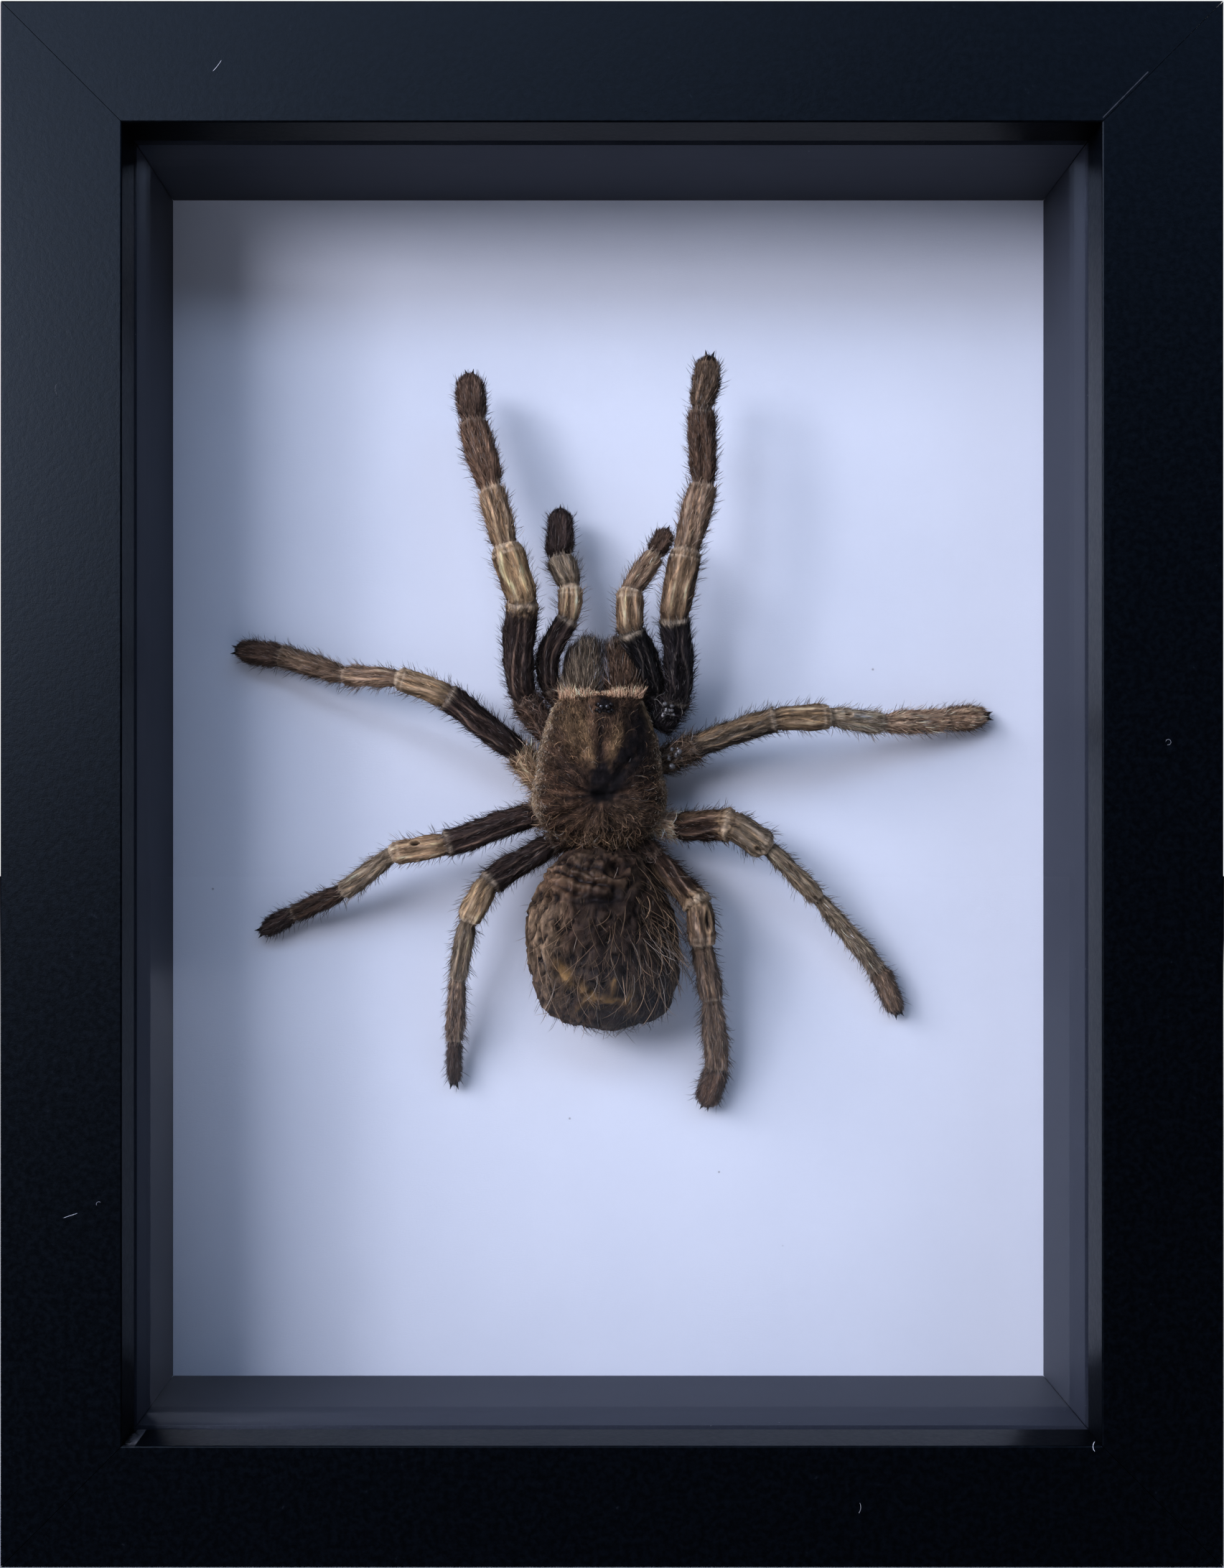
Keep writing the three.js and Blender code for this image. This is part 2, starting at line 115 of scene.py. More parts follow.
# ------------------------------------------------------------------ colours
HUES = {
    "black": (0.013, 0.010, 0.010),
    "coal": (0.034, 0.022, 0.017),
    "umber": (0.062, 0.039, 0.026),
    "velvet": (0.085, 0.050, 0.030),
    "cocoa": (0.105, 0.064, 0.040),
    "brown": (0.140, 0.094, 0.060),
    "russet": (0.155, 0.088, 0.052),
    "fawn": (0.205, 0.138, 0.088),
    "drab": (0.205, 0.156, 0.104),
    "tan": (0.310, 0.205, 0.120),
    "gold": (0.375, 0.245, 0.132),
    "cream": (0.400, 0.275, 0.160),
    "pale": (0.650, 0.520, 0.370),
    "straw": (0.300, 0.205, 0.115),
    "peach": (1.000, 0.630, 0.390),
    "dry_straw": (0.210, 0.13325, 0.07015),
    "ochre": (0.300, 0.1763, 0.0644),
    "silver": (0.300, 0.290, 0.290),
}


def hue(name):
    return np.array(HUES[name])


# ------------------------------------------------------------------ finishes
class Signal:
    """A shader socket that Python's operators act on."""

    def __init__(self, finish, socket):
        self.finish, self.socket = finish, socket

    def math(self, operation, first, second=None):
        values = {0: first} if second is None else {0: first, 1: second}
        return self.finish.add("Math", {"operation": operation}, values)

    def __add__(self, other):
        return self.math("ADD", self, other)

    def __sub__(self, other):
        return self.math("SUBTRACT", self, other)

    def __rsub__(self, other):
        return self.math("SUBTRACT", other, self)

    def __mul__(self, other):
        return self.math("MULTIPLY", self, other)

    def __gt__(self, other):
        return self.math("GREATER_THAN", self, other)

    def __lt__(self, other):
        return self.math("LESS_THAN", self, other)

    def __abs__(self):
        return self.math("ABSOLUTE", self)

    def over(self, other):
        return self.math("MAXIMUM", self, other)

    __radd__ = __add__
    __rmul__ = __mul__


class Finish:
    """A material made of nodes."""

    def __init__(self, name):
        self.material = bpy.data.materials.new(name)
        self.material.use_nodes = True
        self.nodes = self.material.node_tree.nodes
        self.links = self.material.node_tree.links
        self.nodes.clear()

    def add(self, kind, settings=None, values=None, out=0):
        node = self.nodes.new("ShaderNode" + kind)
        for key, value in (settings or {}).items():
            setattr(node, key, value)
        for key, value in (values or {}).items():
            socket = node.inputs[key]
            if isinstance(value, Signal):
                self.links.new(value.socket, socket)
            elif hasattr(socket.default_value, "__len__") and len(value) == 3 and socket.type == "RGBA":
                socket.default_value = (*value, 1)
            else:
                socket.default_value = value
        return Signal(self, node.outputs[out])

    def place(self):
        """Object coordinates in mm."""
        return self.scaled(self.add("TexCoord", out=3), (1 / MM, 1 / MM, 1 / MM))

    def scaled(self, vector, scale):
        return self.add("VectorMath", {"operation": "MULTIPLY"}, {0: vector, 1: scale})

    def noise(self, vector, scale=1, detail=2, rough=0.5, distortion=0.0):
        return self.add("TexNoise", None, {
            "Vector": vector, "Scale": scale, "Detail": detail, "Roughness": rough,
            "Distortion": distortion})

    def step(self, value, low, high):
        """0 below low, 1 above high, smooth between."""
        return self.add("MapRange", {"interpolation_type": "SMOOTHSTEP"}, {0: value, 1: low, 2: high})

    def mix(self, share, first, second, how="MIX"):
        return self.add("Mix", {"data_type": "RGBA", "blend_type": how},
                        {0: share, 6: first, 7: second}, out=2)

    def split(self, vector):
        node = self.add("SeparateXYZ", None, {0: vector}).socket.node
        return [Signal(self, output) for output in node.outputs]

    def bump(self, height, depth, normal=None):
        """A relief whose full height is depth mm."""
        values = {"Height": height, "Distance": depth * MM, "Strength": 1}
        if normal:
            values["Normal"] = normal
        return self.add("Bump", None, values)

    def close(self, shader):
        output = self.nodes.new("ShaderNodeOutputMaterial")
        self.links.new(shader.socket, output.inputs["Surface"])
        return self.material

    def done(self, **values):
        """The finished material: one surface with these values, such as base_color."""
        named = {key.replace("_", " ").title().replace("Ior", "IOR"): value
                 for key, value in values.items()}
        return self.close(self.add("BsdfPrincipled", None, named))


# Marks on the front of the foil, from (x, z) to (x, z), mm: a rubbed corner and an open mitre.
CORNER_RUB = ((-71.4, 18.2), (-69.6, 17.9))
OPEN_MITRE = ((71.6, 211.5), (78.2, 218.2))
# The board shows bare where the foil ends, between these two depths.
FOIL_END = (20.75, 20.95)


def foil_finish():
    """Near-black satin foil over fibreboard, with a fine mottled grain."""
    f = Finish("black_foil")
    place = f.place()
    grain = f.noise(place, 1.1, 3, 0.6)
    fine = f.noise(place, 5, 2)
    x, y, z = f.split(place)
    tone = f.mix(f.step(grain, 0.35, 0.7), (0.0010, 0.0018, 0.0031), (0.0028, 0.0046, 0.0074))
    rear = f.step(y, *FOIL_END)
    board = f.mix(f.noise(place, 2.2, 5, 0.7), (0.13, 0.085, 0.05), (0.26, 0.18, 0.11))
    nicks = f.step(f.noise(place, 0.55, 4, 0.65), 0.72, 0.75) * 0.35
    corner = stroke(f, x, z, *CORNER_RUB, 0.45, place) * f.step(y, -21.3, -19)
    seam = stroke(f, x, z, *OPEN_MITRE, 0.09, place)
    tone = f.mix(nicks, tone, (0.03, 0.032, 0.036))
    tone = f.mix((seam * 0.3).over(corner * 0.8), tone, (0.20, 0.20, 0.21))
    tone = f.mix(rear, tone, board)
    relief = f.bump(grain * 0.7 + fine * 0.3, 0.035)
    return f.done(
        base_color=tone, roughness=(0.31 + grain * 0.16).over(rear * 0.9), normal=relief,
        specular_ior_level=0.19, specular_tint=(0.80, 0.93, 1.0))


def stroke(f, x, z, start, end, half_width, place):
    """A thin straight mark on the front, ragged along its edges; start and end are (x, z)."""
    run = (end[0] - start[0], end[1] - start[1])
    length = math.hypot(*run)
    way = (run[0] / length, run[1] / length)
    along = (x - start[0]) * way[0] + (z - start[1]) * way[1]
    aside = abs((x - start[0]) * -way[1] + (z - start[1]) * way[0])
    ragged = f.noise(place, 1.6, 3, 0.6)
    inside = (along > 0) * (along < length)
    return f.step(half_width * 2 * ragged - aside, 0, half_width * 0.4) * inside


def spacer_finish():
    f = Finish("spacer_satin")
    place = f.place()
    grain = f.noise(place, 2.4, 3, 0.6)
    tone = f.mix(grain, (0.030, 0.034, 0.047), (0.052, 0.058, 0.074))
    dust = f.step(f.noise(place, 1.9, 2), 0.74, 0.8) * 0.4
    return f.done(
        base_color=f.mix(dust, tone, (0.3, 0.3, 0.3)), roughness=0.5 + grain * 0.15,
        normal=f.bump(grain, 0.02), specular_ior_level=0.22)


def card_finish():
    """Matt white card: pressed fibres, a few specks."""
    f = Finish("white_card")
    place = f.place()
    fibre = f.noise(f.scaled(place, (1, 1, 2.2)), 2.6, 5, 0.65, 0.6)
    cloud = f.noise(place, 0.05, 2)
    tone = f.mix(cloud, (0.80, 0.815, 0.855), (0.86, 0.87, 0.90))
    tone = f.mix(f.step(fibre, 0.25, 0.6) * -0.06 + 0.06, tone, (0.6, 0.6, 0.62))
    specks = f.add("TexVoronoi", None, {"Vector": place, "Scale": 0.09, "Randomness": 1})
    tone = f.mix(f.step(specks, 0.022, 0.012) * 0.55, tone, (0.25, 0.22, 0.2))
    return f.done(
        base_color=tone, roughness=0.85, normal=f.bump(fibre, 0.03), specular_ior_level=0.2)


def hardboard_finish():
    f = Finish("pressed_hardboard")
    place = f.place()
    fibre = f.noise(f.scaled(place, (1, 1, 1.6)), 1.5, 6, 0.75, 1.0)
    blotch = f.noise(place, 0.09, 3)
    tone = f.mix(fibre, (0.17, 0.10, 0.055), (0.36, 0.24, 0.145))
    tone = f.mix(f.step(blotch, 0.4, 0.75) * 0.35, tone, (0.20, 0.125, 0.07))
    return f.done(
        base_color=tone, roughness=0.62 + fibre * 0.2, normal=f.bump(fibre, 0.05),
        specular_ior_level=0.3)


def zinc_finish():
    f = Finish("zinc_steel")
    place = f.place()
    drawn = f.noise(f.scaled(place, (0.35, 1, 5)), 1.4, 4, 0.6)
    bloom = f.noise(place, 0.45, 3)
    tone = f.mix(bloom, (0.46, 0.465, 0.47), (0.66, 0.66, 0.65))
    return f.done(
        base_color=tone, metallic=1.0, roughness=0.28 + drawn * 0.22 + bloom * 0.1,
        normal=f.bump(drawn, 0.012))


def glass_finish():
    """Clear glass that lets the light through to what it shuts in."""
    f = Finish("clear_glass")
    glass = f.add("BsdfGlass", None, {"Color": (0.99, 0.992, 0.992), "Roughness": 0.0, "IOR": 1.5})
    clear = f.add("BsdfTransparent", None, {"Color": (0.97, 0.973, 0.973)})
    path = f.add("LightPath").socket.node
    shadow = Signal(f, path.outputs["Is Shadow Ray"])
    bounce = Signal(f, path.outputs["Is Diffuse Ray"])
    return f.close(f.add("MixShader", None, {0: shadow.over(bounce), 1: glass, 2: clear}))


def skin_finish(name, streak_scale, relief):
    """Dried hide: its colours are painted on the mesh, its streaks and pores are woven here."""
    f = Finish(name)
    tone = f.add("Attribute", {"attribute_name": "tone"})
    gloss = f.add("Attribute", {"attribute_name": "gloss"}, out=2)
    along = f.add("Attribute", {"attribute_name": "grain"}, out=1)
    streak = f.noise(f.scaled(along, streak_scale), 1, 4, 0.65)
    place = f.place()
    pores = f.noise(place, 3.5, 3, 0.6)
    colour = f.mix(f.step(streak, 0.3, 0.7), (0.60, 0.57, 0.54), (1.42, 1.40, 1.36))
    colour = f.mix(1.0, tone, colour, "MULTIPLY")
    colour = f.mix(f.step(pores, 0.58, 0.72) * 0.5, colour, f.mix(1.0, colour, (0.4, 0.35, 0.32), "MULTIPLY"))
    bump = f.bump(streak, relief, f.bump(pores, relief * 0.5))
    return f.done(
        base_color=colour, roughness=0.72 - gloss * 0.4 + pores * 0.1, normal=bump,
        specular_ior_level=0.14)


def hair_finish():
    """Dry bristles: each hair carries its own tint, paler and duller in places."""
    f = Finish("bristle_hair")
    tint = f.add("Attribute", {"attribute_name": "tint"})
    dull = f.noise(f.place(), 0.8, 3)
    colour = f.mix(f.step(dull, 0.35, 0.7), f.mix(1.0, tint, (0.72, 0.72, 0.75), "MULTIPLY"), tint)
    return f.done(base_color=colour, roughness=0.45 + dull * 0.2, specular_ior_level=0.10)


def horn_finish():
    """Black horn, as smooth as a lens."""
    f = Finish("dark_horn")
    cloud = f.noise(f.place(), 2.5, 2)
    tone = f.mix(cloud, (0.004, 0.003, 0.003), (0.02, 0.014, 0.01))
    return f.done(base_color=tone, roughness=0.08 + cloud * 0.08, coat_weight=0.4)


def glue_finish():
    f = Finish("dried_glue")
    cloud = f.noise(f.place(), 0.9, 4, 0.6)
    tone = f.mix(cloud, (0.06, 0.055, 0.05), (0.22, 0.20, 0.18))
    return f.done(
        base_color=tone, roughness=0.2 + cloud * 0.25, normal=f.bump(cloud, 0.08),
        specular_ior_level=0.5)


# ------------------------------------------------------------------ meshes and objects
def as_mesh(shape, name):
    """A bmesh made into a mesh."""
    mesh = bpy.data.meshes.new(name)
    shape.to_mesh(mesh)
    shape.free()
    return mesh


def rounded_mesh(shape, name):
    """The smooth mesh of a bmesh that was shaped in mm."""
    bmesh.ops.scale(shape, vec=(MM, MM, MM), verts=shape.verts)
    for face in shape.faces:
        face.smooth = True
    return as_mesh(shape, name)


def put(name, data):
    """A new object in the scene."""
    thing = bpy.data.objects.new(name, data)
    bpy.context.scene.collection.objects.link(thing)
    return thing


def show(mesh, name, material, slot, *nodes):
    """Puts a finished mesh in the scene, on the one body, in the place of the nodes."""
    piece = put(name, mesh)
    mesh.materials.clear()
    mesh.materials.append(material)
    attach(piece, "root")
    if nodes:
        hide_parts(*nodes)
    return piece


# ------------------------------------------------------------------ sheets of points
def to_case(x, z, h):
    """Specimen coordinates to case coordinates, mm."""
    return np.stack([SPECIMEN_X + x, CARD_FACE - h, SPECIMEN_Z + z], axis=-1)


def clamp(values):
    """The values, held between 0 and 1."""
    return np.clip(values, 0, 1)


def unit(vectors):
    return vectors / np.maximum(np.linalg.norm(vectors, axis=-1, keepdims=True), 1e-9)


def ruffle(points, size, seed, octaves=2):
    """Smooth noise of about -1 to 1 at each point, with lumps of about size mm."""
    flat = points.reshape(-1, 3) / size + seed * 7.31
    values = [noise.fractal(p, 1.0, 2.0, octaves) for p in flat.tolist()]
    return np.array(values).reshape(points.shape[:-1])


def clouds(points, size, seed, octaves=2):
    """Soft patches, 0 to 1."""
    return clamp(0.5 + 0.9 * ruffle(points, size, seed, octaves))


def hump(distance, width):
    return np.exp(-((distance / width) ** 2))


def through(knots, values, at):
    """A smooth curve through the values at the knots."""
    knots, values = np.asarray(knots, float), np.asarray(values, float)
    slopes = np.gradient(values, knots, axis=0)
    i = np.clip(np.searchsorted(knots, at) - 1, 0, len(knots) - 2)
    span = knots[i + 1] - knots[i]
    t = ((at - knots[i]) / span)[:, None]
    span = span[:, None]
    return (
        (1 + 2 * t) * (1 - t) ** 2 * values[i] + t * (1 - t) ** 2 * span * slopes[i]
        + t**2 * (3 - 2 * t) * values[i + 1] + t**2 * (t - 1) * span * slopes[i + 1])


# Painted shade on the skin under the hair: how much darker than its hair the skin under it is made, where a
# hide doesn't say otherwise.
SKIN_SHADE_UNDER_HAIR = 0.5


class Hide:
    """A closed skin as rings of points, with what is painted on it and how its hair lies.

    tone is its colour, gloss adds shine, bare (0 to 1) keeps hair off and keeps the skin at its full
    tone, free of the painted shade under hair that under sets, flow is the way that the hair lies,
    and grain is the skin's own coordinates for streaks.
    """

    def __init__(self, points, middle, grain):
        self.points, self.middle, self.grain = points, middle, grain
        self.flow = unit(np.gradient(points, axis=0))
        shape = points.shape[:2]
        self.tone = np.ones((*shape, 3))
        self.gloss = np.zeros(shape)
        self.bare = np.zeros(shape)
        self.under = SKIN_SHADE_UNDER_HAIR
        self.find_normals()

    def find_normals(self):
        ahead = np.gradient(self.points, axis=0)
        around = np.roll(self.points, -1, axis=1) - np.roll(self.points, 1, axis=1)
        normals = unit(np.cross(ahead, around))
        outward = np.sum(normals * (self.points - self.middle), axis=-1)
        self.normals = normals * (1 if outward.sum() > 0 else -1)
        self.normals[0] = unit(self.middle[0] - self.middle[2])
        self.normals[-1] = unit(self.middle[-1] - self.middle[-3])

    def push(self, amount):
        """Moves every point along its normal by amount, mm."""
        self.points = self.points + self.normals * amount[..., None]
        self.find_normals()

    def paint(self, mask, colour):
        share = clamp(mask)[..., None]
        self.tone = self.tone * (1 - share) + np.asarray(colour) * share

    def mottle(self, amount):
        """Lightens the tone where amount is above 0 and darkens it where it is below."""
        self.tone = self.tone * np.exp(amount)[..., None]

    def mesh(self, name):
        rings, sides = self.points.shape[:2]

        def closed(values):
            return np.concatenate([values, values[:, :1]], axis=1)

        shape = bmesh.new()
        bmesh.ops.create_grid(shape, x_segments=sides, y_segments=rings - 1, size=1)
        mesh = as_mesh(shape, name)
        mesh.vertices.foreach_set("co", (closed(self.points) * MM).ravel())
        # Painted shade: the skin is darkened by under where hair covers it, and not where it is bare.
        shaded = self.tone * (1 - self.under * (1 - clamp(self.bare)))[..., None]
        tone = np.concatenate([closed(shaded), np.ones((rings, sides + 1, 1))], axis=-1)
        mesh.color_attributes.new("tone", "FLOAT_COLOR", "POINT").data.foreach_set("color", tone.ravel())
        mesh.attributes.new("grain", "FLOAT_VECTOR", "POINT").data.foreach_set(
            "vector", closed(self.grain).ravel())
        mesh.attributes.new("gloss", "FLOAT", "POINT").data.foreach_set("value", closed(self.gloss).ravel())
        shape = bmesh.new()
        shape.from_mesh(mesh)
        bmesh.ops.remove_doubles(shape, verts=shape.verts, dist=1e-7)
        bmesh.ops.recalc_face_normals(shape, faces=shape.faces)
        for face in shape.faces:
            face.smooth = True
        shape.to_mesh(mesh)
        shape.free()
        return mesh


# ------------------------------------------------------------------ hair
# An ashy hair's colour and how much of it there is; how light a hair is at its root and at its tip.
ASH, ASH_SHARE = np.array([0.42, 0.38, 0.32]), 0.6
ROOT_SHADE, TIP_SHADE = 0.72, 1.2


class Coat:
    """Hairs gathered for one piece."""

    def __init__(self, seed):
        self.rng = np.random.default_rng(seed)
        self.points, self.tints, self.normals = [], [], []

    def roots(self, hide, density, where):
        """Places spread over the hide by area: density per mm2, thinned by where (0 to 1)."""
        points = np.concatenate([hide.points, hide.points[:, :1]], axis=1)
        ahead = points[1:, :-1] - points[:-1, :-1]
        aside = points[:-1, 1:] - points[:-1, :-1]
        area = np.linalg.norm(np.cross(ahead, aside), axis=-1)
        share = area * (1 - hide.bare[:-1]) * clamp(where)[:-1]
        total = share.sum()
        number = int(total * density)
        if number == 0:
            return None
        cell = self.rng.choice(area.size, number, p=(share / total).ravel())
        i, j = np.divmod(cell, area.shape[1])
        u, v = self.rng.random((2, number))

        def sample(values):
            wrapped = np.concatenate([values, values[:, :1]], axis=1)
            if values.ndim == 3:
                a, b = (1 - u)[:, None], (1 - v)[:, None]
                return ((wrapped[i, j] * a + wrapped[i + 1, j] * (1 - a)) * b
                        + (wrapped[i, j + 1] * a + wrapped[i + 1, j + 1] * (1 - a)) * (1 - b))
            return (wrapped[i, j] * (1 - u) + wrapped[i + 1, j] * u) * (1 - v) + wrapped[i, j + 1] * v

        return {"root": sample(hide.points), "up": unit(sample(hide.normals)),
                "way": sample(hide.flow), "tone": sample(hide.tone)}

    def grow(self, roots, length, lift, spread=15, width=0.06, droop=0.6, bends=2, tint=None,
             mix=0.5, vary=0.25, ash=0.06, way=None, fall=0.0, stretch=1.0):
        """Hairs at the roots: length mm, lift and spread in degrees, tint mixed into the hide's tone.

        droop lowers a hair towards its tip, fall bends it down the case, bends is its number of
        straight pieces, vary is how much tones differ and ash the share of ashy hairs.
        """
        if roots is None:
            return
        rng = self.rng
        root, up = roots["root"], roots["up"]
        n = len(root)
        way = roots["way"] if way is None else np.broadcast_to(way, root.shape)
        way = unit(way - up * np.sum(way * up, axis=-1, keepdims=True))
        aside = np.cross(up, way)
        turn = np.radians(rng.normal(0, spread, n))[:, None]
        way = way * np.cos(turn) + aside * np.sin(turn)
        raised = np.radians(rng.uniform(*lift, n))[:, None]
        size = (rng.uniform(*length, n) * stretch)[:, None] / bends
        bow = np.radians(rng.normal(0, spread * 0.8, n))[:, None]
        point = root - up * 0.03
        chain, runs = [point], []
        for k in range(bends):
            angle = raised * (1 - droop * k / bends)
            level = way * np.cos(bow * k) + np.cross(up, way) * np.sin(bow * k)
            run = unit(level * np.cos(angle) + up * np.sin(angle) + np.array([0, 0, -fall * k]))
            runs.append(run)
            point = point + run * size
            chain.append(point)
        tilted = unit(up + rng.normal(0, 0.6, (n, 3)))
        rows, normals = [], []
        for k in range(bends):
            across = unit(np.cross(runs[k], tilted)) * width / 2 * (1 - 0.25 * k / bends)
            rows += [chain[k] - across, chain[k] + across]
            normals += [tilted, tilted]
        rows.append(chain[-1])
        normals.append(tilted)
        per = 2 * bends + 1
        tone = roots["tone"]
        if tint is not None:
            tone = tone * (1 - mix) + np.asarray(tint) * mix
        tone = tone * np.exp(rng.normal(0, vary, n))[:, None]
        ashy = (rng.random(n) < ash)[:, None]
        tone = np.where(ashy, tone * (1 - ASH_SHARE) + ASH * ASH_SHARE, tone)
        shade = np.linspace(ROOT_SHADE, TIP_SHADE, per)
        tints = tone[:, None, :] * shade[None, :, None]
        self.points.append(np.stack(rows, axis=1))
        self.normals.append(np.stack(normals, axis=1))
        self.tints.append(tints)

    def cover(self, hide, density, where, length, lift, *style, **more):
        """Hairs of one kind all over a hide: roots() and grow() in one."""
        self.grow(self.roots(hide, density, where), length, lift, *style, **more)

    def mesh(self, name):
        """One mesh of thin pointed ribbons: quads along each hair and a triangle at its tip."""
        loops, totals, offset = [], [], 0
        for batch in self.points:
            n, per = batch.shape[:2]
            quads = [k + corner for k in range(0, per - 3, 2) for corner in (0, 1, 3, 2)]
            pattern = np.array(quads + [per - 3, per - 2, per - 1])
            loops.append(((np.arange(n) * per + offset)[:, None] + pattern).ravel())
            totals.append(np.tile([4] * ((per - 3) // 2) + [3], n))
            offset += n * per
        points, tints, normals = (np.concatenate([batch.reshape(-1, 3) for batch in batches])
                                  for batches in (self.points, self.tints, self.normals))
        points = points * MM
        loops, totals = np.concatenate(loops), np.concatenate(totals)
        starts = np.concatenate([[0], np.cumsum(totals)[:-1]])
        mesh = bpy.data.meshes.new(name)
        mesh.vertices.add(len(points))
        mesh.vertices.foreach_set("co", points.ravel())
        mesh.loops.add(len(loops))
        mesh.loops.foreach_set("vertex_index", loops.astype(np.int32))
        mesh.polygons.add(len(starts))
        mesh.polygons.foreach_set("loop_start", starts.astype(np.int32))
        mesh.polygons.foreach_set("loop_total", totals.astype(np.int32))
        mesh.update(calc_edges=True)
        colours = np.concatenate([clamp(tints), np.ones((len(tints), 1))], axis=1)
        mesh.color_attributes.new("tint", "FLOAT_COLOR", "POINT").data.foreach_set("color", colours.ravel())
        mesh.polygons.foreach_set("use_smooth", np.ones(len(starts), bool))
        mesh.normals_split_custom_set_from_vertices(normals.tolist())
        self.triangles = int((totals - 2).sum())
        return mesh


# ------------------------------------------------------------------ limbs
# The gap between a limb's rings, mm, and the points on a ring.
RING_GAP, LIMB_SIDES = 0.25, 72
# How far its bends are rounded, and how far its root reaches into the body, mm.
PATH_ROUNDING, ROOT_REACH = 1.0, 3.0

# Along each kind of article: how far its half-width rises from the neck to its full size.
RISES = {
    "coxa": [(0, 0.6), (0.3, 1.0), (0.7, 0.95), (0.93, 0.7), (1.0, 0)],
    "femur": [(0, 0), (0.06, 0.35), (0.15, 0.7), (0.35, 0.92), (0.6, 1.0), (0.8, 0.96), (0.93, 0.9),
              (0.975, 0.8), (1.0, 0)],
    "patella": [(0, 0), (0.06, 0.4), (0.2, 0.75), (0.5, 0.95), (0.72, 1.06), (0.86, 0.95), (0.95, 0.5),
                (1.0, 0)],
    "tibia": [(0, 0), (0.08, 0.35), (0.2, 0.7), (0.45, 0.92), (0.75, 1.02), (0.88, 0.92), (0.96, 0.5),
              (1.0, 0)],
    "metatarsus": [(0, 0), (0.06, 0.3), (0.2, 0.75), (0.45, 1.0), (0.75, 0.98), (0.9, 0.82), (0.97, 0.6),
                   (1.0, 0)],
    "tarsus": [(0, 0), (0.06, 0.5), (0.15, 0.9), (0.35, 1.0), (0.6, 0.97), (0.8, 0.82), (0.92, 0.58),
               (1.0, 0.25)],
}
# How clearly the lengthwise ribs of each kind stand out.
RIBBED = {"coxa": 0.5, "femur": 1.0, "patella": 0.9, "tibia": 0.8, "metatarsus": 0.35, "tarsus": 0.3}
# Sideways bends within an article: which one, and how far its middle stands towards +x, mm.
BOWS = {"pedipalp_left": (1, -1.5), "pedipalp_right": (1, 0.5), "leg_left_1": (1, -0.8),
        "leg_right_1": (1, 0.5)}
# Holes in the dried skin, pressed in and painted dark as shade in the hole: which article, how far along and
# how far round, half-length, half-width, mm.
PITS = {"leg_right_4": [(2, 0.38, -0.5, 1.4, 0.5)], "leg_left_3": [(2, 0.5, 0.55, 0.75, 0.4)],
        "leg_right_2": [(3, 0.25, -0.4, 0.6, 0.35)], "leg_right_3": [(2, 0.8, 0.5, 0.9, 0.35)]}
# Joints where the skin is crumpled into a pale collar, with painted shade in its dips.
COLLARS = {"leg_left_1": 2, "leg_right_3": 2, "leg_right_4": 2}
TIGHT_FEET = ("leg_left_1", "leg_right_1", "pedipalp_left", "pedipalp_right")
# What a limb's hair and its claws take off its half-width and its length, mm.
HAIR_ALLOWANCE, TIP_ALLOWANCE = 0.12, 0.4
CLAW_LENGTH = 1.5
LIMB_LIGHTNESS = 1.15
# Inside the body the root lies flatter than the limb does.
ROOT_LEVELLING = np.array([1, 1, 0.3])
# The line that is rounded runs on straight past both ends, mm.
RUN_ON = 6
# Shares of the half-width at the root, at the foot's tip and at the last joint of a slim foot.
ROOT_NECK, TIP_NECK, TIGHT_SQUEEZE = 0.8, 0.35, 0.82
ROOT_ROUNDING, TIP_ROUNDING = 1.5, 1.1
# Ribs that run lengthwise: how far round the limb each lies, and how strong it is.
RIDGES = ((-1.05, 0.6), (-0.4, 1.1), (0.35, 1.0), (1.0, 0.5))
RIB_WARMTH = np.array([1.08, 0.96, 0.80])
# Painted shade on the skin under the hair: how much darker than its hair the skin is made.
LIMB_SKIN_SHADE_UNDER_HAIR, ABDOMEN_SKIN_SHADE_UNDER_HAIR = 0.12, 0.15

# What each kind of article looks like: strength of its pale stripes, its pale far rim, its dark
# near end, and its hair: length, hairs per mm2, lift.
KINDS = {
    "coxa": (0.3, 0.3, 0.3, (0.7, 1.4), 16, (15, 40)),
    "femur": (0.4, 0.65, 0.3, (0.8, 1.6), 15, (10, 30)),
    "patella": (0.75, 0.85, 0.55, (0.6, 1.2), 8, (8, 26)),
    "tibia": (0.7, 0.6, 0.3, (0.9, 1.7), 14, (10, 30)),
    "metatarsus": (0.2, 0.5, 0.2, (0.8, 1.5), 24, (12, 32)),
    "tarsus": (0.15, 0.1, 0.1, (0.6, 1.1), 28, (14, 36)),
}
LEG_KINDS = ("coxa", "femur", "patella", "tibia", "metatarsus", "tarsus")
PALP_KINDS = ("coxa", "femur", "patella", "tibia", "tarsus")
# The colour of each article, from the root to the foot.
DRESS = {
    "leg_left_1": ("umber", "coal", "gold", "tan", "cocoa", "umber"),
    "leg_right_1": ("black", "black", "tan", "fawn", "cocoa", "brown"),
    "leg_left_2": ("tan", "coal", "cream", "fawn", "fawn", "umber"),
    "leg_right_2": ("fawn", "drab", "cream", "drab", "fawn", "fawn"),
    "leg_left_3": ("fawn", "coal", "tan", "drab", "umber", "coal"),
    "leg_right_3": ("fawn", "russet", "drab", "drab", "drab", "brown"),
    "leg_left_4": ("umber", "coal", "cream", "drab", "brown", "umber"),
    "leg_right_4": ("umber", "russet", "fawn", "brown", "fawn", "cocoa"),
    "pedipalp_left": ("umber", "coal", "tan", "drab", "coal"),
    "pedipalp_right": ("black", "black", "tan", "fawn", "umber"),
}
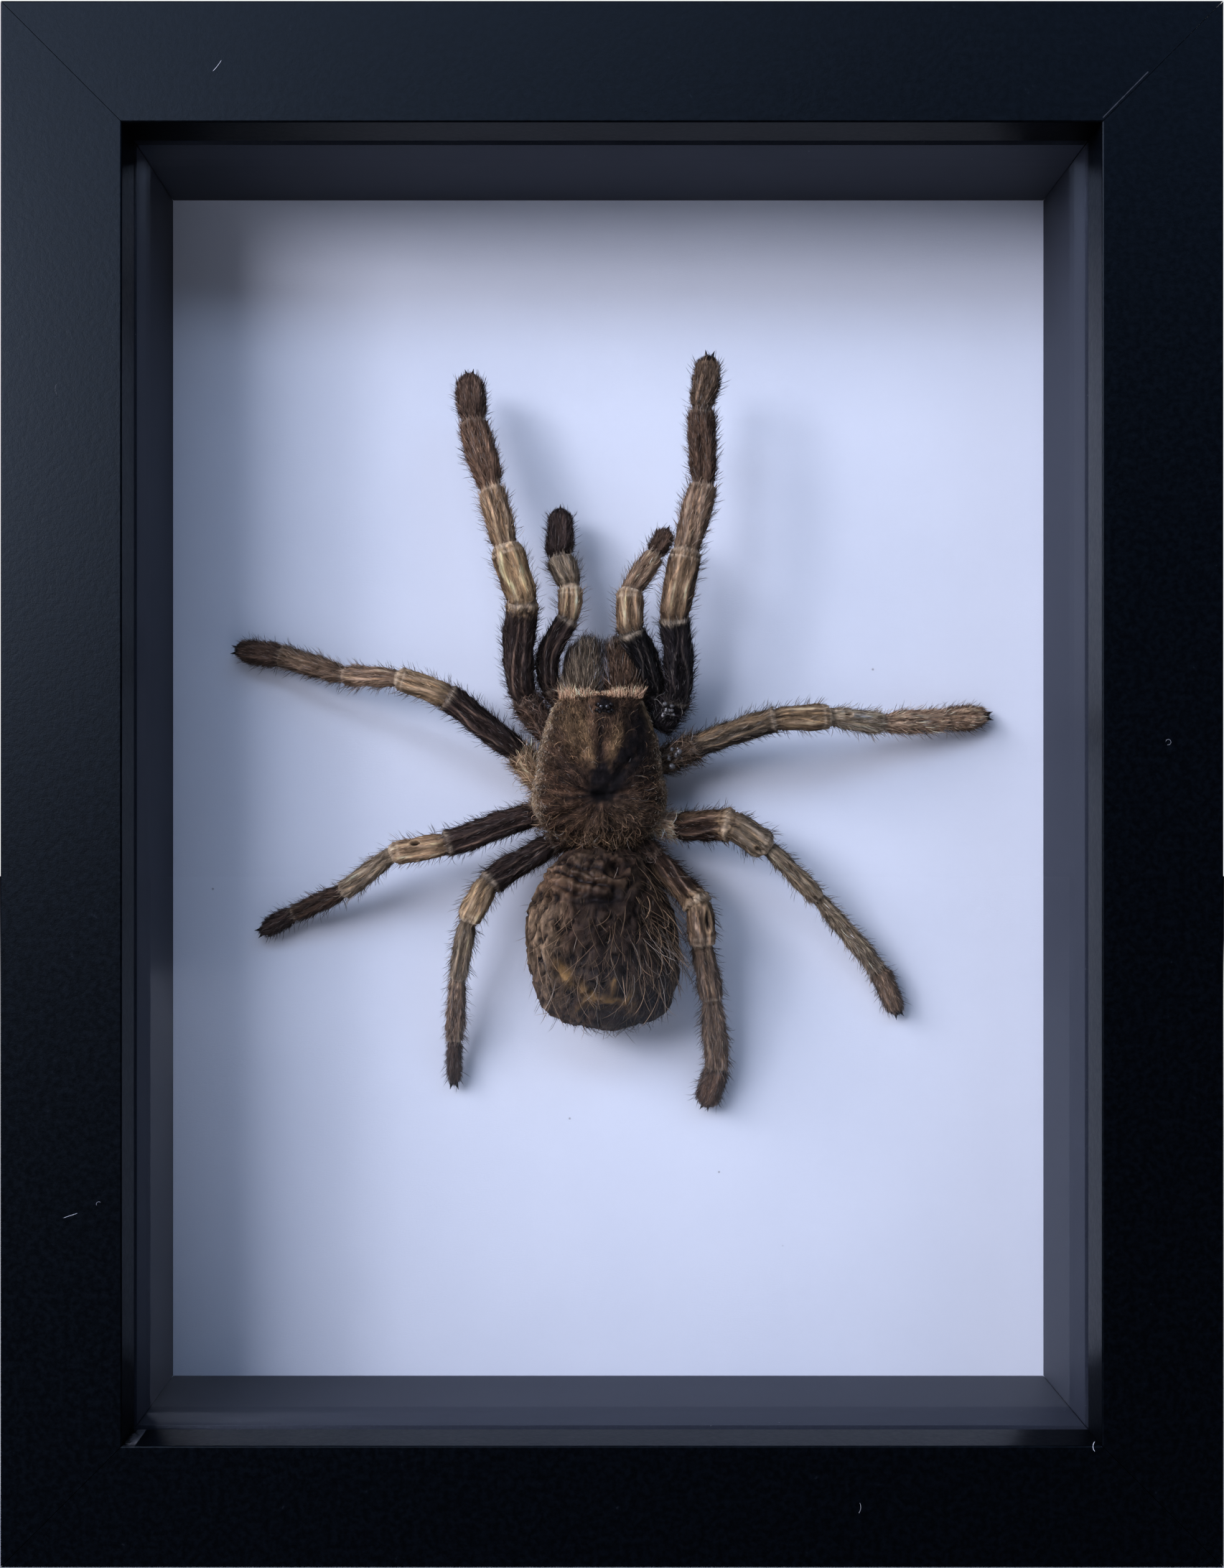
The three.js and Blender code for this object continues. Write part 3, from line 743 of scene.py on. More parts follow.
# Flanks of a limb painted another colour: which article, how far round, and the colour. Of these, the gold
# and tan upper flanks of the second and third right femora and the black lower flank of the second are
# painted light and shade, as light falls from the upper left.
FLANKS = {
    "leg_right_2": [(1, 1.05, "black"), (1, -0.7, "gold")],
    "leg_right_1": [(2, -1.1, "umber"), (2, 1.1, "umber")],
    "leg_left_1": [(2, -1.1, "cocoa")],
    "leg_right_3": [(1, -0.9, "tan")],
    "leg_right_4": [(1, 0.9, "tan")],
    "leg_left_2": [(1, 0.9, "black")],
}
# How light each article is against its colour's own lightness.
SHADES = {
    "leg_left_1": (1.5, 1.6, 0.88, 0.96, 1.7, 1.9),
    "leg_right_1": (1.3, 1.9, 0.78, 1.25, 1.05, 1.1),
    "leg_left_2": (1.0, 1.8, 0.70, 1.3, 1.05, 2.3),
    "leg_right_2": (0.45, 0.65, 0.57, 2.05, 2.35, 1.95),
    "leg_left_3": (1.0, 1.8, 1.08, 1.25, 1.3, 1.9),
    "leg_right_3": (2.6, 0.34, 0.88, 1.5, 1.5, 1.55),
    "leg_left_4": (1.0, 1.6, 0.74, 1.25, 1.65, 1.4),
    "leg_right_4": (1.2, 0.30, 0.90, 1.45, 1.1, 1.15),
    "pedipalp_left": (1.0, 1.6, 1.2, 1.1, 1.7),
    "pedipalp_right": (1.0, 0.8, 0.85, 1.5, 1.6),
}


def limb_line(name):
    """A limb's middle line and half-widths: s runs from its root to its foot, t along each article."""
    joints, widths = LIMBS[name]
    leg = len(widths) == len(LEG_KINDS)
    kinds, necks = (LEG_KINDS, LEG_NECKS) if leg else (PALP_KINDS, PALP_NECKS)
    joints = np.array(joints, float)
    inward = (joints[0] - joints[1]) * ROOT_LEVELLING
    joints[0] = joints[0] + inward / np.linalg.norm(inward) * ROOT_REACH
    joints = to_case(*joints.T)
    joints[-1] -= unit(joints[-1] - joints[-2]) * TIP_ALLOWANCE
    spans = np.linalg.norm(np.diff(joints, axis=0), axis=1)
    marks = np.concatenate([[0], np.cumsum(spans)])
    length = marks[-1]
    s = np.linspace(0, length, int(length / RING_GAP) + 1)

    ends = np.vstack([joints[0] - unit(joints[1] - joints[0]) * RUN_ON, joints,
                      joints[-1] + unit(joints[-1] - joints[-2]) * RUN_ON])
    knots = np.concatenate([[-RUN_ON], marks, [length + RUN_ON]])
    offsets = np.linspace(-2.4, 2.4, 13)
    weights = np.exp(-offsets**2 / 2)
    weights /= weights.sum()
    middle = sum(w * np.stack([np.interp(s + o * PATH_ROUNDING, knots, ends[:, k]) for k in range(3)], 1)
                 for o, w in zip(offsets, weights))
    half = np.array(widths) / 2 - HAIR_ALLOWANCE
    last = len(half) - 1
    which = np.clip(np.searchsorted(marks, s, side="right") - 1, 0, last)
    t = (s - marks[which]) / spans[which]
    bent, bow = BOWS.get(name, (0, 0))
    middle[:, 0] += bow * np.sin(clamp(t) * math.pi) * (which == bent)

    squeeze = [TIGHT_SQUEEZE if name in TIGHT_FEET and i + 2 > last else 1 for i in range(last + 1)]
    neck = np.array([half[0] * ROOT_NECK]
                    + [min(half[i], half[i + 1]) * necks[i + 1] * squeeze[i] for i in range(last)]
                    + [half[-1] * TIP_NECK])
    rise = np.choose(which, [np.interp(t, *zip(*RISES[kind])) for kind in kinds])
    base = np.where(t < 0.5, neck[which], neck[which + 1])
    radius = base + (half[which] - base) * rise
    for short_of_end, rounding in ((length - s, TIP_ROUNDING), (s, ROOT_ROUNDING)):
        radius = radius * np.sqrt(clamp(1 - clamp(1 - short_of_end / rounding) ** 2))
    return SimpleNamespace(kinds=kinds, last=last, s=s, t=t, which=which, marks=marks, spans=spans,
                           middle=middle, radius=radius)


def drifts(s, run, across, seed, number=4):
    """Slow seeded noise along s, one column for each lengthwise line."""
    return np.array([[noise.noise((v / run, k * across, seed)) for k in range(number)] for v in s])


def limb_skin(name, seed, line):
    """The wrinkled, ribbed and pitted skin of one limb, and its colours; hues holds one per article."""
    s, which, radius = line.s, line.which, line.radius
    ahead = unit(np.gradient(line.middle, axis=0))
    front = np.array([0, -1.0, 0])
    up = unit(front - ahead * (ahead @ front)[:, None])
    side = np.cross(ahead, up)
    phi = np.arange(LIMB_SIDES) / LIMB_SIDES * TURN
    turn = np.where(phi > math.pi, phi - TURN, phi)[None, :]
    wander = np.array([noise.noise((v / 7, seed * 3.7, 0)) for v in s])[:, None]
    wander_b = np.array([noise.noise((v / 3.5, seed * 5.1, 4)) for v in s])[:, None]
    axis = 0.5 * wander
    swell = 1 - 0.12 * hump(turn - axis, 0.28) - 0.08 * hump(abs(turn) - 1.15 + 0.3 * wander, 0.24)
    swell = swell + 0.05 * hump(abs(turn - axis) - 0.55 - 0.1 * wander_b, 0.16)
    swell = swell - 0.08 * hump(abs(turn) - 2.2, 0.5) + 0.07 * wander_b * np.cos(turn * 2 + seed)
    ring = radius[:, None] * swell
    points = (line.middle[:, None] + up[:, None] * (ring * np.cos(phi))[..., None]
              + side[:, None] * (ring * np.sin(phi))[..., None])
    grain = np.stack([ring * np.cos(phi), ring * np.sin(phi), np.broadcast_to(s[:, None], ring.shape)], -1)
    hide = Hide(points, line.middle[:, None], grain)

    t = line.t[:, None]
    inner = (which < line.last)[:, None]
    from_near = (line.t * line.spans[which])[:, None]
    to_rim = ((1 - line.t) * line.spans[which])[:, None]
    pick = which[:, None] + np.zeros_like(ring, int)
    femur = (pick == 1) * 1.0
    near_joint = np.max([hump(s - m, 0.9) for m in line.marks[1:-1]], axis=0)[:, None]
    drift = drifts(s, 8.0, 5.7, seed + 3)
    breaks = np.clip(0.75 + 1.2 * drifts(s, 3.0, 9.1, seed), 0.2, 1)
    ridges = np.max([
        strength * hump(turn - axis - place - 0.5 * drift[:, k:k + 1], 0.055) * breaks[:, k:k + 1]
        for k, (place, strength) in enumerate(RIDGES)], axis=0)
    ribbed = np.array([RIBBED[kind] for kind in line.kinds])[which][:, None]
    ridges = ridges * clamp(np.minimum(t, 1 - t) * 6) * ribbed
    pits, lips, crumple = np.zeros_like(ridges), np.zeros_like(ridges), np.zeros_like(ridges)
    for article, place, around, half_length, half_width in PITS.get(name, []):
        off = np.hypot((s[:, None] - line.marks[article] - place * line.spans[article]) / half_length,
                       (turn - around) * radius[:, None] / half_width)
        pits, lips = np.maximum(pits, np.exp(-off**4)), np.maximum(lips, hump(off - 1.3, 0.22))
    lumps = ruffle(points, 3.0, seed, 2) * 0.24 + ruffle(points, 0.8, seed + 40, 2) * 0.05
    creases = near_joint * 0.12 * np.sin(s[:, None] * TURN / 0.62 + 2 * wander_b + np.cos(phi))
    collar = 0.14 * hump(to_rim - 0.5, 0.28) * inner
    if name in COLLARS:
        at = line.marks[COLLARS[name]] - 0.5
        crumple = hump(s[:, None] - at, 1.1) * (0.5 + 0.9 * ruffle(points, 0.5, seed, 2))
        collar = collar + 0.45 * crumple
    fade = clamp(radius / 1.2)[:, None]
    hide.push((lumps + creases + collar + 0.14 * ridges - 0.9 * pits + 0.18 * lips) * fade)

    hues = np.array([hue(named) * shade for named, shade in zip(DRESS[name], SHADES[name])]) * LIMB_LIGHTNESS
    traits = np.array([KINDS[kind][:3] for kind in line.kinds])
    pale_stripes, pale_rim, dark_near = traits[pick].transpose(2, 0, 1)
    lanes = ruffle(grain * np.array([1, 1, 0.10]), 0.55, seed + 60, 2)
    hide.tone = hues[pick] * np.exp(0.8 * lanes)[..., None]
    hide.under = LIMB_SKIN_SHADE_UNDER_HAIR
    second = np.clip(hide.tone * 1.9 + 0.06, 0, 0.7)
    body = hump(t - 0.5, 0.45)
    blotch = clouds(points, 1.4, seed + 9)
    stripes = hump(abs(turn - axis) - 0.5 - 0.3 * wander_b, 0.16) * body
    centre = hump(turn - axis, 0.18) * body * ribbed
    hide.paint(blotch * 0.6, hide.tone * 0.45)
    hide.paint(stripes * pale_stripes * (0.35 + 0.9 * blotch), second)
    hide.paint(femur * 0.45, hide.tone * 0.5)
    rib_tone = second * (1.1 + 0.5 * femur)[..., None] * RIB_WARMTH
    hide.paint(ridges * (0.8 + 0.05 * femur), rib_tone)
    hide.paint(hump(from_near, 1.3) * dark_near + centre * 0.5 * pale_stripes, hide.tone * 0.3)
    hide.paint(hump(abs(turn) - 1.9, 0.7) * 0.5, hide.tone * 0.5)
    # Flanks of another colour, some of them painted light and shade as FLANKS says.
    for article, place, colour in FLANKS.get(name, []):
        flank = hump(turn - place - 0.3 * wander_b, 0.38) * (pick == article) * clamp(0.3 + blotch)
        hide.paint(flank * 0.9, hue(colour) * 0.8)
    # Painted shade in the collar's dips; the pale collar's own colour on its raised folds.
    hide.paint(-crumple * 2.5, hue("coal"))
    hide.paint(crumple * 1.5, hue("cream") * 0.9)
    hide.paint(lips * 0.85, hue("cream") * 1.1)
    # Painted shade in the holes.
    hide.paint(pits, hue("black") * 0.6)
    edge = hump(to_rim - 0.4, 0.34) * inner
    edge = np.maximum(edge, 0.7 * hump(to_rim - 1.35, 0.22) * (pick == line.kinds.index("patella")))
    hide.paint(edge * pale_rim * (0.45 + 0.6 * blotch), hue("pale"))
    hide.paint(clamp((t - 0.88) / 0.08) * (1 - inner), hue("black"))
    hide.paint(near_joint**3 * 0.4 * (1 - pale_rim), hue("black"))
    hide.gloss = clamp(near_joint * 0.5 + stripes * 0.35 + ridges * 0.4)
    hide.bare = np.clip(stripes * 0.7 * pale_stripes + edge * 0.8 * pale_rim + (t < 0.03) * 0.6
                        + ridges * 0.9 + pits + lips + crumple * 0.7, 0, 0.97)
    return hide, hues, turn, pick


def limb(name, seed):
    """The skin of one limb from its root to its foot, and its hair."""
    line = limb_line(name)
    hide, hues, turn, pick = limb_skin(name, seed, line)
    t = line.t[:, None]
    back = np.clip(0.35 + 0.65 * (np.cos(turn) + 0.55), 0.18, 1) + 0 * pick
    flanks = (np.abs(turn) > 1.05) * (np.abs(turn) < 2.0)
    coat = Coat(seed)
    for i, kind in enumerate(line.kinds):
        article = pick == i
        here = article * back
        size, density, lift = KINDS[kind][3:]
        light = hues[i] * 1.6 + 0.02
        coat.cover(hide, density * 0.6, here, size, lift, 7, 0.075, 0.7, 2, light, 0.25, 0.4)
        coat.cover(hide, density * 0.06, here, (size[0] * 1.4, size[1] * 1.7), (20, 50), 12, 0.060, 0.9, 3,
                   light * 1.3, 0.5, 0.4, 0.12)
        coat.cover(hide, 3.4, article * flanks, (0.8, 2.3), (35, 72), 18, 0.070, 0.35, 3, hue("umber"),
                   0.55, 0.4, 0.12)
        if kind == "coxa":
            coat.cover(hide, 8, here, (1.2, 3.0), (15, 65), 45, 0.075, 1.0, 3, hues[0] * 2.2, 0.6, 0.5, 0.1)
        if kind == "tarsus":
            sole = article * (np.abs(turn) > 1.2) * (t > 0.1)
            coat.cover(hide, density * 0.6, sole, (0.5, 0.9), (30, 70), 20, 0.07, 0.5, 2, hue("umber"), 0.5)
            coat.cover(hide, 45, article * (t > 0.9), (0.6, 1.0), (10, 45), 25, 0.08, 0.6, 2, hue("black"),
                       0.8, ash=0.02)
    return hide, coat


# ------------------------------------------------------------------ trunk
def trunk(sections, rings, sides, flat_top=1.0, rim=0.0, underside=1.0, ease=(0.07, 0.07)):
    """A closed body through cross-sections, denser near its ends.

    Returns its hide, and for each point x, z and how far up it lies, from -1 to 1.
    """
    table = np.array(sections, float)[::-1]
    run = np.linspace(0, 1, rings)
    run = 0.5 - 0.5 * np.cos(run * math.pi)
    z0, z1 = table[0, 0] - 0.5, table[-1, 0] + 0.5
    z = z0 + (z1 - z0) * run
    shape = through(table[:, 0], table[:, 1:], np.clip(z, table[0, 0], table[-1, 0]))
    end = clamp(np.minimum((z - z0) / ease[0], (z1 - z) / ease[1]) / (z1 - z0))
    closing = np.sqrt(1 - (1 - end) ** 2)
    left, right, low, high = shape.T
    x_mid, h_mid = (left + right) / 2, (low + high) / 2
    a, b = (right - left) / 2 * closing, (high - low) / 2 * closing
    phi = np.arange(sides) / sides * TURN
    c, sn = np.cos(phi)[None, :], np.sin(phi)[None, :]
    upper = c > 0
    h_rim = h_mid + b * rim
    wide = np.where(upper, 1.0, underside + (1 - underside) * hump(c, 0.12))
    x = x_mid[:, None] + a[:, None] * np.sign(sn) * np.abs(sn) ** 0.95 * wide
    rise = (h_mid + b - h_rim)[:, None] * np.abs(c) ** flat_top
    fall = (h_rim - h_mid + b)[:, None] * np.abs(c)
    h = h_rim[:, None] + np.where(upper, rise, -fall)
    zz = np.broadcast_to(z[:, None], x.shape)
    points = to_case(x, zz, h)
    middle = to_case(x_mid, z, h_mid)[:, None]
    hide = Hide(points, middle, points)
    return hide, x, zz, np.broadcast_to(c, x.shape)


def patch(x, z, at, size, angle=0):
    """A soft spot, 1 in its middle, of half-sizes size, turned by angle degrees."""
    a = math.radians(angle)
    dx, dz = x - at[0], z - at[1]
    along = dx * math.cos(a) + dz * math.sin(a)
    across = -dx * math.sin(a) + dz * math.cos(a)
    return np.exp(-((along / size[0]) ** 2 + (across / size[1]) ** 2) ** 1.4)


def swellings(x, z, bumps):
    """The sum of soft bumps and dents: each is height in mm, place, half-sizes, turn."""
    return sum(height * patch(x, z, at, size, angle) for height, at, size, angle in bumps)


def paint_spots(hide, x, z, cloud, spots):
    """Soft spots of colour: place, half-sizes, turn, strength all over and in clouds, colour, lightness."""
    for at, size, angle, even, clouded, colour, lightness in spots:
        hide.paint(patch(x, z, at, size, angle) * (even + clouded * cloud), hue(colour) * lightness)


# The ways in which furrows run out from the fovea, in degrees from straight ahead.
FURROWS = (-152, -118, -84, -40, 40, 84, 118, 152)
# Spots of colour under the streaks that fan out from the fovea, and over them.
CARAPACE_GROUND = [
    ((-7.0, 6), (4.5, 9), 0, 0.4, 0, "russet", 0.8),
    ((2.0, -0.6), (7, 2.6), 0, 0.5, 0, "brown", 1)]
CARAPACE_SPOTS = [
    ((-4.6, 13.2), (3.0, 5.4), 0, 0.1, 0.6, "dry_straw", 0.8),
    ((-6.9, 14.9), (2.2, 1.5), 60, 0.85, 0, "coal", 1),
    ((-5.2, 8.2), (3.4, 1.0), -40, 0.75, 0, "coal", 1),
    ((-3.7, 12.0), (5.0, 1.2), -65, 0.7, 0, "dry_straw", 1),
    ((6.8, 8.6), (4.2, 2.0), 80, 0.8, 0, "coal", 0.7),
    ((4.6, 1.2), (3.6, 2.4), -20, 0.7, 0, "brown", 2.0),
    ((-2.2, 10.8), (0.7, 5.4), 12, 0.75, 0, "dry_straw", 1.9),
    ((1.7, 11.2), (1.0, 4.2), -14, 0.9, 0, "dry_straw", 1.8),
    ((-5.0, 15.6), (2.6, 2.2), 0, 0.3, 0.5, "dry_straw", 1.3),
    ((3.0, 16.2), (3.4, 2.0), 0, 0.6, 0, "umber", 1),
    ((5.0, 2.5), (4.5, 4.0), 0, 0.4, 0, "umber", 1)]
# Where the hair is rubbed off: strength, place, half-sizes, turn.
BALD = [(1, (3.3, 9.6), (7.2, 2.9), 54), (1, (0.4, 6.2), (4.1, 4.3), 0),
        (0.95, (6.2, 14.6), (2.6, 5.0), -12), (1.3, EYE_TUBERCLE, (1.5, 1.4), 0)]
# Hairs in the peach crest along the front edge.
CREST_HAIRS = 850


def carapace(seed):
    """The furrowed shield over the front of the body, with the plate under it, and its hair."""
    hide, x, z, top = trunk(PROSOMA, 150, 180, flat_top=0.8, rim=0.15, underside=0.84, ease=(0.08, 0.03))
    dorsal = clamp(top * 4)
    from_x, from_z = x - FOVEA[0], z - FOVEA[1]
    reach = np.hypot(from_x, from_z)
    bearing = np.degrees(np.arctan2(from_x, from_z))
    lift = -1.15 * np.exp(-((from_x / 1.7) ** 2 + (from_z / 0.5) ** 2))
    lift += -0.35 * np.exp(-(reach / 3.2) ** 2)
    for angle in FURROWS:
        aside = reach * np.sin(np.radians(bearing - angle))
        ahead = reach * np.cos(np.radians(bearing - angle))
        depth = 0.42 if abs(angle) > 45 else 0.6
        lift -= depth * hump(aside, 0.55) * clamp(ahead / 2) * clamp((9.5 - ahead) / 3)
    lift += swellings(x, z, [(0.5, (-0.2, 13.5), (4.2, 4.8), 0), (1.1, EYE_TUBERCLE, (1.6, 1.4), 0)])
    lift += -0.25 * hump(x + 0.4, 0.35) * clamp((z - 5) / 2) * clamp((16 - z) / 2)
    case = hide.points
    lift += 0.30 * ruffle(case, 3.0, seed, 2) + 0.10 * ruffle(case, 0.9, seed + 3, 2)
    hide.push(lift * dorsal + (1 - dorsal) * 0.2 * ruffle(case, 1.8, seed + 5))

    cloud = clouds(case, 1.7, seed + 11, 3)
    hide.tone[:] = hue("velvet")
    paint_spots(hide, x, z, cloud, CARAPACE_GROUND)
    fans = ruffle(np.stack([bearing / 9, reach / 7, 0 * x], -1), 1.0, seed + 17, 2)
    hide.mottle(1.9 * fans)
    paint_spots(hide, x, z, cloud, CARAPACE_SPOTS)
    bald = np.max([strength * patch(x, z, *spot) for strength, *spot in BALD], axis=0)
    bald = bald * (1 - patch(x, z, (1.6, 12.6), (0.9, 3.2), -8))
    bald = clamp(bald * (0.75 + 0.5 * cloud))
    pit = patch(x, z, FOVEA, (2.4, 1.7))
    hide.paint(bald * 1.15, hue("black") * 0.7)
    hide.paint(hump(x + 0.45, 0.4) * (z > 6) * (z < 16) * 0.85, hue("black"))
    hide.paint(pit, hue("black") * 0.4)
    hide.paint(patch(x, z, (-1.8, -3.6), (3.6, 1.0)) * 0.9, hue("dry_straw") * 1.2)
    side_rim = hump(top - 0.2, 0.2) * np.where(x < 0, 0.95, 0.5) * np.clip(z / 3 + 0.4, 0.25, 1)
    hide.paint(side_rim * (0.6 + 0.5 * cloud), hue("straw") * 1.9)
    brow = clamp((z - 19.1) / 0.4) * (top > 0)
    hide.paint(brow, hue("peach"))
    hide.paint((top < -0.12) * 0.8, hue("coal"))
    hide.mottle(0.8 * ruffle(case, 0.75, seed + 18, 2) + 0.3 * ruffle(case, 2.2, seed + 19, 2))
    hide.gloss = -0.3 * bald + 0.9 * patch(x, z, EYE_TUBERCLE, (1.7, 1.5))
    hide.bare = np.clip(bald * 1.05 + side_rim * 0.4 + brow + pit, 0, 0.995)

    spin = 0.5 * ruffle(case, 4.5, seed + 21)
    away = to_case(from_x, from_z, 0 * x) - to_case(0 * x, 0 * x, 0 * x)
    swirl = np.stack([-away[..., 2], away[..., 1], away[..., 0]], -1)
    hide.flow = unit(away + swirl * spin[..., None] + np.array([0, 0, 0.6]))
    coat = Coat(seed)
    coat.cover(hide, 20, dorsal, (0.5, 1.0), (6, 30), 20, 0.070, 0.8, 2, None, 0, 0.5, 0.015)
    waist = patch(x, z, (0, -3.6), (6, 2.2))
    coat.cover(hide, 7, waist, (1.4, 3.0), (10, 45), 40, 0.085, 1.0, 3, hue("tan"), 0.6, 0.5, 0.05,
               way=np.array([0.0, 0, -1]))
    coat.cover(hide, 1.6, dorsal, (1.2, 2.4), (12, 40), 36, 0.085, 1.1, 3, hue("dry_straw"), 0.6, 0.4, 0.04)
    coat.cover(hide, 10, (1 - dorsal) * (top < -0.1), (0.8, 1.5), (20, 50), 25, 0.06, 0.8, 2)
    coat.cover(hide, 60, side_rim, (0.4, 0.9), (5, 40), 30, 0.085, 0.8, 2, hue("pale"), 0.7, 0.35,
               way=np.array([0.0, -0.3, -1.0]))
    rng = coat.rng
    across = rng.uniform(-7.1, 6.3, CREST_HAIRS)
    back = 19.4 + rng.uniform(-0.25, 0.35, CREST_HAIRS)
    above = 12.4 - 0.03 * across**2 + rng.uniform(-0.5, 0.1, CREST_HAIRS)
    crest = {"root": to_case(across, back, above),
             "up": np.tile([0.0, -1, 0], (CREST_HAIRS, 1)), "way": np.tile([0.0, 0, 1], (CREST_HAIRS, 1)),
             "tone": np.tile(hue("peach"), (CREST_HAIRS, 1))}
    length = 1.15 - 0.7 * hump(across + 0.3, 2.0)
    coat.grow(crest, (0.5, 2.1), (-12, 30), 18, 0.085, 0.6, 3, hue("cream"), 0.08, 0.25, 0.0, stretch=length)
    return hide, coat


def off_line(x, z, places):
    """How far each point is from a line through the places, mm."""
    distance = np.full_like(x, 99.0)
    for (x0, z0), (x1, z1) in zip(places, places[1:]):
        run_x, run_z = x1 - x0, z1 - z0
        t = clamp(((x - x0) * run_x + (z - z0) * run_z) / (run_x**2 + run_z**2))
        distance = np.minimum(distance, np.hypot(x - x0 - t * run_x, z - z0 - t * run_z))
    return distance


# The raised ochre fold across the rear of the abdomen, and the spurs that run forward from it.
FOLD = [(-7.1, -22.1), (-4.4, -25.2), (-1.2, -28.0), (1.5, -28.0), (4.2, -28.9)]
SPURS = [[(1.2, -28.0), (1.6, -24.6)], [(-2.4, -27.0), (-4.0, -29.4)], [(3.2, -28.6), (4.4, -26.4)]]
# A round dent, and a small hole beside the fold.
DENT, HOLE = (1.8, -7.7), (3.5, -26.7)
# Bumps and dents, then spots of colour and of painted shade under the wrinkles and over them.
ABDOMEN_BUMPS = [
    (-1.3, DENT, (1.5, 1.3), 0), (-0.9, (-0.5, -12.1), (4.2, 0.55), 4), (0.6, (-8.2, -10.4), (2.6, 2.8), 0),
    (-0.9, (0.4, -29.4), (3.8, 1.5), 0), (-0.8, HOLE, (0.6, 0.5), 0)]
ABDOMEN_GROUND = [
    ((-9.6, -18), (3.2, 11), 0, 0.5, 0.5, "drab", 1.1),
    ((-8.0, -10.3), (3.2, 2.6), 0, 0.85, 0, "brown", 1),
    ((-3.8, -10), (3.6, 1.6), 0, 0.65, 0, "cocoa", 1),
    (DENT, (2.2, 1.9), 0, 0.7, 0, "cocoa", 1)]
# Over the wrinkles: the black crease at z -12.3 and the coal spot at z -30.2 lie in dents and are painted
# shade there, and the two black spots at the lower right and rear edge are a painted shadow.
ABDOMEN_SPOTS = [
    ((1.5, -18), (6.5, 6.0), 0, 0.5, 0, "coal", 1),
    ((1.0, -6.5), (7, 2.2), 0, 0.3, 0, "coal", 1),
    ((-0.5, -12.3), (4.6, 0.9), 4, 0.95, 0, "black", 1),
    ((1.4, -30.2), (3.0, 1.4), 0, 0.8, 0, "coal", 1),
    ((8.2, -28.3), (4.2, 2.6), 50, 0.95, 0, "black", 1),
    ((3.6, -31.4), (3.0, 1.0), 0, 0.9, 0, "black", 1)]


